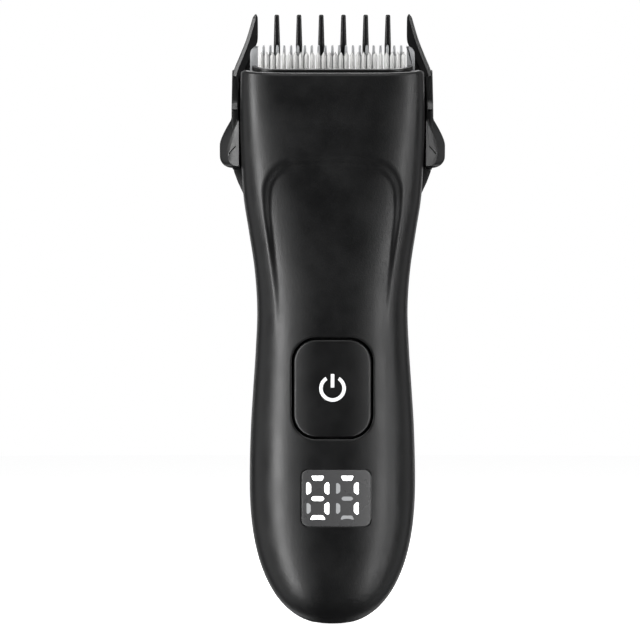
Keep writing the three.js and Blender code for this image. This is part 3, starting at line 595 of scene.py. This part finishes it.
def build_shell(name, back, spots, inner_spots, inset_of):
    """A closed shell: a detailed outer skin and a plain inner skin, cut at the split plane."""
    near_split = [0, 0.004, 0.009, 0.015, 0.022, 0.032]
    columns = (np.concatenate([near_split, np.linspace(0.046, 1, 46)]),
               spaced(-INNER_HALF, INNER_HALF, COLUMN_STEP, inner_spots))
    grid, normals = skin(back, shell_rows(spots), columns)
    outer = grid - normals * inset_of(grid)[..., None]
    inside = grid - normals * WALL
    inside[..., 2] = np.minimum(inside[..., 2], rim_z(inside[..., 1]) - 0.02)
    bm = bmesh.new()
    outer_rows = add_grid(bm, outer, ring=True)
    inner_rows = add_grid(bm, inside, flip=True, ring=True)
    bridge(bm, outer_rows[-1], inner_rows[-1])
    bmesh.ops.remove_doubles(bm, verts=bm.verts, dist=2e-4)
    bmesh.ops.dissolve_degenerate(bm, edges=bm.edges, dist=1e-4)
    shell = make_object(name, bm)
    side = -1 if back else 1
    split, far = SPLIT_Y - side * SPLIT_GAP / 2, side * 2 * BEYOND
    other_half = box_mesh((-2 * BEYOND, min(split, far), -20), (2 * BEYOND, max(split, far), 200))
    return boolean(shell, make_object("half", other_half))


def front_inset(points):
    """How far each point of the front skin lies under the plain body surface."""
    x, y, z = points[..., 0], points[..., 1], points[..., 2]
    facing = y < 0
    sunk = np.where(facing, recess(x, z), 0)
    button = rectangle_distance(x, z, (0, BUTTON_Z), BUTTON["width"] + 2 * BUTTON["gap"],
                                BUTTON["height"] + 2 * BUTTON["gap"], BUTTON["radius"] + BUTTON["gap"])
    window = rectangle_distance(x, z, (WINDOW_X, WINDOW_Z), WINDOW["width"] + 2 * WINDOW["gap"],
                                WINDOW["height"] + 2 * WINDOW["gap"], WINDOW["radius"])
    sunk = sunk + np.where(facing, fillet(button, BUTTON["edge"]) + fillet(window, WINDOW["edge"]), 0)
    rim_edge = RIM_EDGE * (1 + smoothstep(-y, 1, 7))
    return sunk + fillet(rim_z(y) - z, rim_edge) + fillet(SPLIT_Y - SPLIT_GAP / 2 - y, SPLIT_EDGE)


def rear_inset(points):
    y, z = points[..., 1], points[..., 2]
    return fillet(rim_z(y) - z, RIM_EDGE) + fillet(y - SPLIT_Y - SPLIT_GAP / 2, SPLIT_EDGE)


def opening(spec, centre, radius):
    """A cutter for an opening through the front, wider than the part in it by a gap."""
    gap = 2 * spec["gap"]
    outline = rounded_rectangle(spec["width"] + gap, spec["height"] + gap, radius, 20, 2)
    return make_object("opening", prism(outline + np.array(centre), -BEYOND, -5))


def port_opening():
    """A cutter for the opening with round ends round the charging port."""
    outline = rounded_rectangle(PORT["width"], PORT["height"], PORT["height"] / 2 - 0.01, 12, 2)
    return make_object("port", prism(outline + np.array([0, PORT["y"]]), -3, 8, axis="z"))


def make_front_shell():
    spots = [(117.5, 0.3), (ARCH["full"], 0.35)]
    across = []
    for side in (-1, 1):
        spots += [(BUTTON_Z + side * BUTTON["height"] / 2, 0.14),
                  (WINDOW_Z + side * WINDOW["height"] / 2, 0.14)]
        across += [(side * (BUTTON["width"] / 2 + BUTTON["gap"]), 0.12),
                   (WINDOW_X + side * WINDOW["width"] / 2, 0.12)]
    shell = build_shell("front_shell_skin", False, spots, across, front_inset)
    boolean(shell, opening(BUTTON, (0, BUTTON_Z), BUTTON["radius"] + BUTTON["gap"]))
    boolean(shell, opening(WINDOW, (WINDOW_X, WINDOW_Z), WINDOW["radius"]))
    boolean(shell, port_opening())
    resharpen(shell)
    finished(shell, "handle", "shell_black", "front_shell")


def make_rear_shell():
    shell = build_shell("rear_shell_skin", True, [(SCREW["z"], 0.4)], [], rear_inset)
    shoulders = []
    for side in (-1, 1):
        outline = rounded([(side * x, z) for x, z in SHOULDER], 0.3)
        shoulders.append(prism(outline, SPLIT_Y + SPLIT_GAP / 2, SHOULDER_BACK, bevel=0.3))
    boolean(shell, joined(shoulders, "shoulders"), "UNION")
    blade_side, blade_foot = BLADE["half"] + 0.35, BLADE["foot"] - 0.6
    boolean(shell, moved(box_mesh((-blade_side, -40, blade_foot), (blade_side, 60, 40)), HEAD))
    pockets = [prism(circle((side * SCREW["x"], SCREW["z"]), SCREW["pocket"]), SCREW["floor"], BEYOND)
               for side in (-1, 1)]
    boolean(shell, joined(pockets, "pockets"))
    boolean(shell, port_opening())
    resharpen(shell)
    finished(shell, "handle", "shell_black", "rear_shell")


def cap_mesh(rings, surface, back):
    """A closed cap: rings of (x, z) outlines with their drop below a surface, and a straight skirt."""
    bm = bmesh.new()
    loops = [[bm.verts.new((x, back, z)) for x, z in rings[0][0]]]
    for outline, drop in rings:
        depths = surface(outline[:, 0], outline[:, 1]) + drop
        loops.append([bm.verts.new((x, y, z)) for (x, z), y in zip(outline, depths)])
    for lower, upper in zip(loops[:-1], loops[1:]):
        bridge(bm, lower, upper)
    bm.faces.new(loops[0])
    last, drop = rings[-1]
    x, z = last.mean(axis=0)
    top = bm.verts.new((x, float(surface(x, z)) + drop, z))
    for i, vert in enumerate(loops[-1]):
        bm.faces.new([vert, loops[-1][(i + 1) % len(last)], top])
    return bm


def rounded_edge(radius, steps):
    """Insets and drops over a quarter-round edge, from its foot to its top."""
    for angle in np.radians(np.linspace(90, 0, steps)):
        yield radius * (1 - math.sin(angle)), radius * (1 - math.cos(angle))


def rectangle_rings(centre, width, height, radius, edge, per_corner=16, straight=14):
    """Rings of a rounded rectangle: close together over its rounded edge, then towards the centre."""
    centre = np.array(centre)
    rings = []
    for inset, drop in rounded_edge(edge, 7):
        outline = rounded_rectangle(width - 2 * inset, height - 2 * inset, max(radius - inset, 0.05),
                                    per_corner, straight)
        rings.append((outline + centre, drop))
    last = rings[-1][0]
    rings += [(centre + (last - centre) * share, 0) for share in np.linspace(0.95, 0.03, 22)]
    return rings


# ------------------------------------------------------------------ button and display

CAP = {"sink": 0.12, "curve": 1.12, "back": -11.3, "edge": 0.5, "dish": 0.15, "dish_x": 8, "dish_z": 10}
MARK = {"radius": 2.9, "half": 0.45, "open": 0.55, "low": 0.2, "high": 3.6, "lift": 0.04}
LENS_SINK, LENS_BACK = 0.03, -10
DIGITS = {"x": (-3.72, 3.68), "z": 32.65, "thick": 0.5, "corner": 0.35}


def button_face(x, z):
    """The cap is a little more curved than the shell, and dished in the middle."""
    middle = front_y(0, z)
    dish = CAP["dish"] * np.exp(-((x / CAP["dish_x"]) ** 2 + ((z - BUTTON_Z) / CAP["dish_z"]) ** 2))
    return middle + CAP["sink"] + CAP["curve"] * (front_y(x, z) - middle) + dish


def make_button():
    rings = rectangle_rings((0, BUTTON_Z), BUTTON["width"], BUTTON["height"], BUTTON["radius"], CAP["edge"])
    cap = make_object("power_button_cap", cap_mesh(rings, button_face, CAP["back"]))
    finished(cap, "button", "button_black", "power_button")


def make_mark():
    """A ring open at the top, and a bar in the opening, standing a hair proud of the cap."""
    half, lift = MARK["half"], MARK["lift"]
    profile = [(-half, 0.3), (-half, -0.01), (-half + 0.06, -lift), (half - 0.06, -lift), (half, -0.01),
               (half, 0.3)]
    grid = []
    for angle in np.linspace(math.pi / 2 + MARK["open"], 2.5 * math.pi - MARK["open"], 72):
        row = []
        for offset, drop in profile:
            x = (MARK["radius"] + offset) * math.cos(angle)
            z = BUTTON_Z + (MARK["radius"] + offset) * math.sin(angle)
            row.append((x, float(button_face(x, z)) + drop, z))
        grid.append(row)
    finished(make_object("mark_ring_inlay", capped_grid(grid)), "button", "mark_white", "mark_ring")
    centre = (0, BUTTON_Z + (MARK["high"] + MARK["low"]) / 2)
    rings = rectangle_rings(centre, 2 * half, MARK["high"] - MARK["low"], 0.12, 0.05, 4, 8)
    bar = cap_mesh(rings, lambda x, z: button_face(x, z) - lift, float(button_face(0, BUTTON_Z)) + 0.6)
    finished(make_object("mark_bar_inlay", bar), "button", "mark_white", "mark_bar")


def make_window():
    rings = rectangle_rings((WINDOW_X, WINDOW_Z), WINDOW["width"], WINDOW["height"], WINDOW["radius"],
                            0.14, 8, 20)
    lens = cap_mesh(rings, lambda x, z: front_y(x, z) + LENS_SINK, LENS_BACK)
    finished(make_object("display_lens", lens), "handle", "window_smoke", "display_window")


def segments():
    """The seven segments of a digit centred on the origin, as outlines."""
    side = [(2.86, 3.7), (2.86, 0.95), (2.4, 0.85), (1.68, 1.4), (1.68, 3.3), (2.4, 3.95)]
    outlines = {"a": [(-1.6, 5.5), (1.6, 5.5), (1.1, 4.3), (-1.1, 4.3)],
                "g": [(-1.7, -0.2), (-1.2, 0.36), (1.2, 0.36), (1.7, -0.2), (1.2, -0.78), (-1.2, -0.78)],
                "d": [(-1.95, -5.5), (-1.35, -4.4), (1.35, -4.4), (1.95, -5.5)],
                "b": side}
    outlines["f"] = [(-x, z) for x, z in side][::-1]
    outlines["c"] = [(x, -z - 0.3) for x, z in side][::-1]
    outlines["e"] = [(-x, -z - 0.3) for x, z in side]
    return outlines


def segment_tiles(letters, centre, shrink, lift):
    """Thin closed tiles for some segments of one digit, lying on the lens."""
    tiles = []
    for letter, outline in segments().items():
        if letter not in letters:
            continue
        points = np.array(rounded(outline, DIGITS["corner"]))
        middle = points.mean(axis=0)
        rings = [(middle + (points - middle) * share * shrink + np.array(centre), 0)
                 for share in (1, 0.8, 0.55, 0.3)]
        y = float(front_y(*rings[0][0].mean(axis=0)))
        tiles.append(cap_mesh(rings, lambda x, z: front_y(x, z) + LENS_SINK - lift, y + DIGITS["thick"]))
    return tiles


def make_digits():
    for name, digits, lift, shrink in (("digits_lit", ("abcdfg", "abc"), 0.02, 1.0),
                                       ("digits_unlit", ("e", "defg"), 0.01, 0.9)):
        tiles = []
        for letters, x in zip(digits, DIGITS["x"]):
            tiles += segment_tiles(letters, (x, DIGITS["z"]), shrink, lift)
        group = joined(tiles, name)
        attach(group, "handle")
        paint(group, name)


def make_screw_plugs():
    """Soft plugs in the screw pockets: a rounded edge, and a shallow dish in the middle."""
    radius, edge, dish, foot = SCREW["pocket"] - 0.15, 0.3, 0.12, 9.3
    unit = np.array(circle((0, 0), 1))
    for name, side in (("left", -1), ("right", 1)):
        centre = np.array((side * SCREW["x"], SCREW["z"]))
        rings = [(centre + unit * (radius - inset), -drop) for inset, drop in rounded_edge(edge, 6)]
        rings += [(centre + unit * radius * share, -dish * smoothstep(share, 0.9, 0.4))
                  for share in (0.8, 0.7, 0.5, 0.3, 0.1)]
        plug = make_object(f"screw_plug_{name}_cap", cap_mesh(rings, lambda x, z: back_y(x, z) - 0.1, foot))
        finished(plug, "handle", "rubber_black", f"screw_plug_{name}")


# ------------------------------------------------------------------ blade head

def plug_outline(inset=0.0):
    """Outline of the head frame seen along its length: its two front corners are round."""
    half, front, back = PLUG["half"] - inset, PLUG["front"] + inset, PLUG["back"]
    radius = PLUG["radius"] - inset
    outline = [(-half, back)] + arc((-half + radius, front + radius), radius, 180, 270, 14)
    return outline + arc((half - radius, front + radius), radius, 270, 360, 14) + [(half, back)]


def make_lip():
    """A low wall round the front of the deck, just inside the edge of the head frame."""
    inset, thick, behind = 0.05, 1.05, -6.5
    lip = make_object("lip", prism(plug_outline(inset), DECK - 1, LIP_TOP, axis="z", bevel=0.3, segments=3))
    boolean(lip, make_object("inside", prism(plug_outline(inset + thick), DECK - 2, LIP_TOP + 1, axis="z")))
    return boolean(lip, make_object("behind", box_mesh((-BEYOND, behind, -20), (BEYOND, 10, 10))))


def pair(x, z, radius, steps, low, high, name):
    """A peg through two mirrored places, to cut or to join."""
    return joined([prism(circle((side * x, z), radius, steps), low, high) for side in (-1, 1)], name)


def make_head_frame():
    outline = plug_outline()
    frame_piece = make_object("head_frame_body",
                              prism(outline, PLUG["foot"], DECK, axis="z", bevel=0.35, segments=3))
    to_cutter = CUTTER["front"] + 0.1
    blade_seat = ((-BEYOND, CUTTER["front"] - 0.4, CUTTER["foot"] - 0.5), (BEYOND, 10, 10))
    carrier_room = ((-ROOM["carrier"], ROOM["front"], -2 * BEYOND), (ROOM["carrier"], to_cutter, ROOM["top"]))
    spring_room = ((-ROOM["spring"], ROOM["spring_front"], CUTTER["foot"] - 2),
                   (ROOM["spring"], to_cutter, ROOM["top"]))
    for low, high in (blade_seat, carrier_room, spring_room):
        boolean(frame_piece, make_object("room", box_mesh(low, high)))
    boolean(frame_piece, pair(HEAD_SCREW["x"], HEAD_SCREW["z"], HEAD_SCREW["bore"], 24, -9, 1, "bores"))
    boolean(frame_piece, make_lip(), "UNION")
    resharpen(frame_piece)
    place_head(frame_piece, "blade_head", "shell_black", "head_frame")


def make_fixed_blade():
    """A plate with rounded cheeks at its ends and pointed teeth between them."""
    half, root, thick = BLADE["half"], BLADE["root"], BLADE["thick"]
    top, corner, inner = BLADE["top"], BLADE["corner"], BLADE["cheek"]
    plate = box_mesh((-half, -thick, BLADE["foot"]), (half, 0, root), 0.14)
    blade = make_object("fixed_blade_plate", plate)
    cheeks = []
    for side in (-1, 1):
        cheek = [(half, root - 0.6)] + arc((half - corner, top - corner), corner, 0, 90, 10)
        cheek += arc((inner + 0.3, top - 0.3), 0.3, 90, 180, 4) + [(inner, root - 0.6)]
        cheeks.append(prism([(side * x, z) for x, z in cheek], -thick, 0, bevel=0.16, segments=3))
    boolean(blade, joined(cheeks, "cheeks"), "UNION")
    half_tooth = [(0.5, root - 0.5), (0.5, root), (0.33, -0.7), (0.24, -0.16), (0.1, 0)]
    outline = half_tooth + [(-x, z) for x, z in half_tooth[::-1]]
    teeth = []
    for i in range(BLADE["teeth"]):
        middle = (i - (BLADE["teeth"] - 1) / 2) * BLADE["pitch"]
        teeth.append(prism([(middle + x, z) for x, z in outline], -thick + 0.03, -0.03, bevel=0.13))
    boolean(blade, joined(teeth, "teeth"), "UNION")
    boolean(blade, pair(HEAD_SCREW["x"], HEAD_SCREW["z"], HEAD_SCREW["hole"], 40, -3, 3, "holes"))
    resharpen(blade, 25)
    place_head(blade, "blade_head", "blade_steel", "fixed_blade")


def make_ceramic_cutter():
    """A plate with gabled teeth: each has a ridge down its middle and narrow slits beside it."""
    half = CUTTER["teeth"] * CUTTER["pitch"] / 2
    front, back = CUTTER["front"], CUTTER["back"]
    plate = make_object("ceramic_cutter_body", box_mesh((-half, front, CUTTER["foot"]),
                                                       (half, back, CUTTER["slit"]), 0.12))
    full, gable = CUTTER["pitch"] / 2 - CUTTER["kerf"], 0.42
    sections = ((CUTTER["slit"] - 0.8, full, 0.02), (CUTTER["valley"], full, 0.02),
                (CUTTER["tip"] - 0.12, 0.1, 0.25), (CUTTER["tip"], 0.03, 0.4))
    teeth = []
    for i in range(CUTTER["teeth"]):
        x = (i + 0.5 - CUTTER["teeth"] / 2) * CUTTER["pitch"]
        rows = []
        for z, w, rise in sections:
            ridge, eave = front + rise, front + rise + gable * w / full
            rows.append([(x - w, eave, z), (x, ridge, z), (x + w, eave, z), (x + w, back - 0.02, z),
                         (x - w, back - 0.02, z)])
        teeth.append(capped_grid(rows))
    boolean(plate, joined(teeth, "teeth"), "UNION")
    boolean(plate, pair(CUTTER["hole_x"], CUTTER["hole_z"], CUTTER["hole"], 32, -5, 0, "holes"))
    resharpen(plate, 12)
    place_head(plate, "cutter", "ceramic_white", "ceramic_cutter")


def make_blade_screws():
    for name, side in (("left", -1), ("right", 1)):
        x, z = side * HEAD_SCREW["x"], HEAD_SCREW["z"]
        head = make_object(f"blade_screw_{name}_head",
                           prism(circle((x, z), HEAD_SCREW["head"]), -1, -0.1, bevel=0.22, segments=3))
        shank = prism(circle((x, z), HEAD_SCREW["shank"], 24), -7.5, -0.6)
        boolean(head, make_object("shank", shank), "UNION")
        for angle in (45, 135):
            turn = Matrix.Translation((x, 0, z)) @ Matrix.Rotation(math.radians(angle), 4, "Y")
            boolean(head, moved(box_mesh((-1.15, -0.55, -0.22), (1.15, 1, 0.22)), turn))
        resharpen(head)
        place_head(head, "blade_head", "steel", f"blade_screw_{name}")


# ------------------------------------------------------------------ guide comb

def rib_outline():
    """Profile of a comb rib in the head frame: round tip, swelling down to the base bar."""
    return curve((COMB["gap"], -27), (COMB["gap"], 6.6), ("q", (COMB["gap"] + 0.1, 7.75), (1.2, 7.6)),
                 ("q", (1.9, 7.3), (2.3, 5.2)), ("b", (3.6, -1), (6.8, -8), (7, -14)),
                 ("q", (7, -22), (2.6, -27)))


def make_rib(x):
    """A rounded rib that is a little thicker than its nominal size at the foot, and thinner at the tip."""
    foot, taper, low, high = 1.2, 0.36, -1, 7.6
    bm = prism(rib_outline(), x - COMB["thick"] / 2, x + COMB["thick"] / 2, axis="x", bevel=0.5, segments=4)
    for vert in bm.verts:
        share = np.clip((vert.co.z - low) / (high - low), 0, 1)
        vert.co.x = x + (vert.co.x - x) * (foot - taper * share)
    return bm


def rib_back(z):
    """Skin-side face of the rib profile at a height in the head frame."""
    outline = rib_outline()
    tip = max(range(len(outline)), key=lambda i: outline[i][1])
    places, heights = zip(*outline[:tip - 1:-1])
    return float(np.interp(z, heights, places))


def make_strut(side):
    """The strut from a side wall up to the outermost tip, with a chamfer down its outer slope."""
    chamfer, slope, edge, tip_share = 0.8, 0.52, 0.15, 0.35
    rows = []
    for z in np.concatenate([np.linspace(137.6, 153.6, 34), [154.1, 154.5, 154.75, 154.85]]):
        head_z = (z - HEAD_TIP.z) / math.cos(HEAD_TILT)
        tip = 1 - float(smoothstep(z, 154.95, 153.9))
        outer, inner = float(along(STRUT_OUTER, z)), float(along(STRUT_INNER, z))
        middle, narrow = (outer + inner) / 2, 1 - (1 - tip_share) * tip
        outer, inner = middle + (outer - middle) * narrow, middle + (inner - middle) * narrow
        front, back = COMB["gap"] + tip_share * tip, max(rib_back(head_z), COMB["gap"] + 0.5)
        strip = min(chamfer, (outer - inner) * 0.6)
        shoulder = front + strip * slope
        ring = [(inner, front + 0.12), (inner + 0.12, front), (outer - strip, front),
                (outer - 0.06, shoulder), (outer, shoulder + 0.1), (outer, back - edge),
                (outer - edge, back), (inner + edge, back), (inner, back - edge)]
        rows.append([(side * x, y, head_z) for x, y in ring])
    return moved(capped_grid(rows), HEAD, "strut")


def lever_outlines(side):
    """Outline of the finger lever, and of the flat pad on it, as matching points."""
    inner, outer = COMB["inner"], COMB["outer"]
    outline = curve((24.9, 116), ("b", (26.6, 116), (28.55, 116.6), (28.62, 118.8)),
                    ("b", (28.63, 119.7), (28.64, 120.6), (28.64, 121.6)),
                    ("b", (28.64, 123.2), (26.9, 126.2), (26, 127.7)),
                    ("b", (25.75, 128.1), (outer, 128.6), (outer, 129.6)), steps=12)
    pad_edge = curve((24.6, 116.25), ("b", (25.5, 116.35), (26.4, 117.2), (26.7, 118.6)),
                     ("b", (26.8, 119.1), (26.8, 120.2), (26.72, 121)),
                     ("b", (26.5, 122.6), (25.9, 124), (25, 125.5)),
                     ("b", (24.6, 126.1), (24.2, 126.9), (24, 127.6)), steps=12)
    outline = [(inner, 116)] + outline + [(inner, 129.6)]
    pad_edge = [(inner, 116.25)] + pad_edge + [(inner, 127.6)]
    return (np.array([(side * x, z) for x, z in points]) for points in (outline, pad_edge))


def pad_plane(x):
    """Y of the sloping pad of a finger lever at a distance from the middle of the object."""
    return LEVER["front"] + LEVER["slope"] * (x - COMB["inner"])


def make_lever(side):
    """A finger lever: loops from its back over its rim up to the pad, and a groove across the pad."""
    outline, pad_edge = lever_outlines(side)
    rim = LEVER["rim"]
    levels = ((0, lambda x: LEVER["back"]), (0, lambda x: rim + 0.25), (0.05, lambda x: rim),
              (0.94, lambda x: pad_plane(x) + 0.14), (1.03, pad_plane))
    bm = bmesh.new()
    loops = [[bm.verts.new((x, depth(abs(x)), z)) for x, z in outline + (pad_edge - outline) * share]
             for share, depth in levels]
    for lower, upper in zip(loops[:-1], loops[1:]):
        bridge(bm, lower, upper)
    bm.faces.new(loops[0])
    bm.faces.new(loops[-1][::-1])
    bmesh.ops.triangulate(bm, faces=[face for face in bm.faces if len(face.verts) > 4])
    lever = make_object("guide_comb_lever", bm, 25)
    x = LEVER["groove_x"]
    face = Matrix.Translation((side * x, pad_plane(x), LEVER["groove_z"]))
    lean = Matrix.Rotation(side * math.atan(LEVER["slope"]), 4, "Z")
    turn = Matrix.Rotation(-side * math.radians(45), 4, "Y")
    return boolean(lever, moved(box_mesh((-0.17, -1, -1.4), (0.17, 0.35, 1.4)), face @ lean @ turn))


def make_comb():
    inner, outer = COMB["inner"], COMB["outer"]
    profile = rounded(SIDE_WALL, 0.8)
    walls = [prism(profile, low, high, axis="x", bevel=0.4, segments=3)
             for low, high in ((-outer, -inner), (inner, outer))]
    comb = joined(walls, "guide_comb_body")
    first = -(COMB["ribs"] - 1) / 2 * COMB["pitch"]
    ribs = [make_rib(first + i * COMB["pitch"]) for i in range(COMB["ribs"])]
    half = outer - 0.05
    bar = box_mesh((-half, COMB["gap"], BASE_BAR["low"]), (half, BASE_BAR["back"], BASE_BAR["high"]), 0.45)
    rails = [prism([(side * x, z) for x, z in RAIL], 1.2, 2.6, bevel=0.2) for side in (-1, 1)]
    for part in (joined_mesh(ribs), bar, joined_mesh(rails)):
        boolean(comb, moved(part, HEAD), "UNION")
    for side in (-1, 1):
        nub = prism([(side * x, y) for x, y in NUB["outline"]], NUB["low"], NUB["high"], axis="z", bevel=0.15)
        for part in (make_strut(side), make_lever(side), make_object("nub", nub)):
            boolean(comb, part, "UNION")
    resharpen(comb, 28)
    finished(comb, "comb", "comb_black", "guide_comb")


# ------------------------------------------------------------------ all pieces

for make in (make_front_shell, make_rear_shell, make_button, make_mark, make_window, make_digits,
             make_screw_plugs, make_head_frame, make_fixed_blade, make_ceramic_cutter,
             make_blade_screws, make_comb):
    make()
for part in frame["record"]["subparts"]:
    paint(frame["nodes"][part["node"]], part["material_slot"])

# ------------------------------------------------------------------ floor, camera and light

FLOOR_RADIUS = 1500
MIDDLE = 78                     # height at which the short softboxes are aimed
LOW, TALL = -40, 1250           # middle and length of the upright softboxes
FILL = (0.02, 0.02, 0.021)
# Name, turn from the camera side to the left in degrees, height, distance, width, length, radiance.
SOFTBOXES = [
    ("key_left", 60, LOW, 520, 130, TALL, 13.0),
    ("wide_left", 34, LOW, 560, 200, TALL, 1.1),
    ("key_right", -52, LOW, 520, 90, TALL, 8.0),
    ("edge_right", -74, LOW, 520, 40, TALL, 8.0),
    ("wide_right", -32, LOW, 560, 170, TALL, 0.8),
    ("side_left", 108, LOW, 520, 330, TALL, 0.55),
    ("side_right", -116, LOW, 520, 260, TALL, 0.45),
    ("rim_left", 158, LOW, 520, 90, TALL, 1.0),
    ("rim_right", -158, LOW, 520, 90, TALL, 1.0),
    ("top_front", 0, 620, 330, 420, 300, 2.6),
    ("top_back", 180, 560, 380, 420, 300, 5.0),
]
CAMERA = Vector((-3.15, -1200, 77.2))
FRAME_HALF = 81.28              # half the height that the camera sees at the object


def make_floor():
    """A pale disc that only the camera sees, so that it merges with the white behind it."""
    bm = bmesh.new()
    bmesh.ops.create_circle(bm, cap_ends=True, radius=FLOOR_RADIUS, segments=96)
    floor = make_object("floor", bm)
    floor.location.z = -0.05 * MM
    floor.visible_glossy = floor.visible_diffuse = floor.visible_shadow = False
    pale = material("floor_pale", (0.86, 0.86, 0.86), 0.7, mottle=0.02, mottle_size=40, emission=1.1)
    floor.data.materials.append(pale)


def make_world():
    """White behind the object, and a dim fill for everything but the camera's own rays."""
    world = bpy.data.worlds.new("studio")
    bpy.context.scene.world = world
    world.use_nodes = True
    nodes, links = world.node_tree.nodes, world.node_tree.links
    back = nodes["Background"]
    back.inputs["Strength"].default_value = 1.0
    path = add_node(nodes, "LightPath", {})
    mix = add_node(nodes, "Mix", {"A": (*FILL, 1), "B": (1, 1, 1, 1)}, data_type="RGBA")
    links.new(path.outputs["Is Camera Ray"], mix.inputs["Factor"])
    links.new(mix.outputs["Result"], back.inputs["Color"])


def make_softbox(name, turn, height, distance, width, length, radiance):
    """A rectangular light: level if it is upright, else aimed at the middle of the object."""
    data = bpy.data.lights.new(name, "AREA")
    data.shape = "RECTANGLE"
    data.size, data.size_y = width * MM, length * MM
    data.energy = radiance * math.pi * data.size * data.size_y
    lamp = bpy.data.objects.new(name, data)
    angle = math.radians(turn)
    place = Vector((-math.sin(angle) * distance, -math.cos(angle) * distance, height))
    aim = Vector((0, 0, height if length == TALL else MIDDLE))
    lamp.location = place * MM
    lamp.rotation_euler = (place - aim).to_track_quat("Z", "Y").to_euler()
    lamp.visible_camera = False
    bpy.context.scene.collection.objects.link(lamp)


def make_camera():
    data = bpy.data.cameras.new("camera")
    data.angle = 2 * math.atan(FRAME_HALF / -CAMERA.y)
    data.clip_start, data.clip_end = 0.05, 10
    camera = bpy.data.objects.new("camera", data)
    camera.location = CAMERA * MM
    camera.rotation_euler = (math.pi / 2, 0, 0)
    bpy.context.scene.collection.objects.link(camera)
    bpy.context.scene.camera = camera


make_floor()
make_world()
for softbox in SOFTBOXES:
    make_softbox(*softbox)
make_camera()
bpy.context.scene.view_settings.view_transform = "Standard"
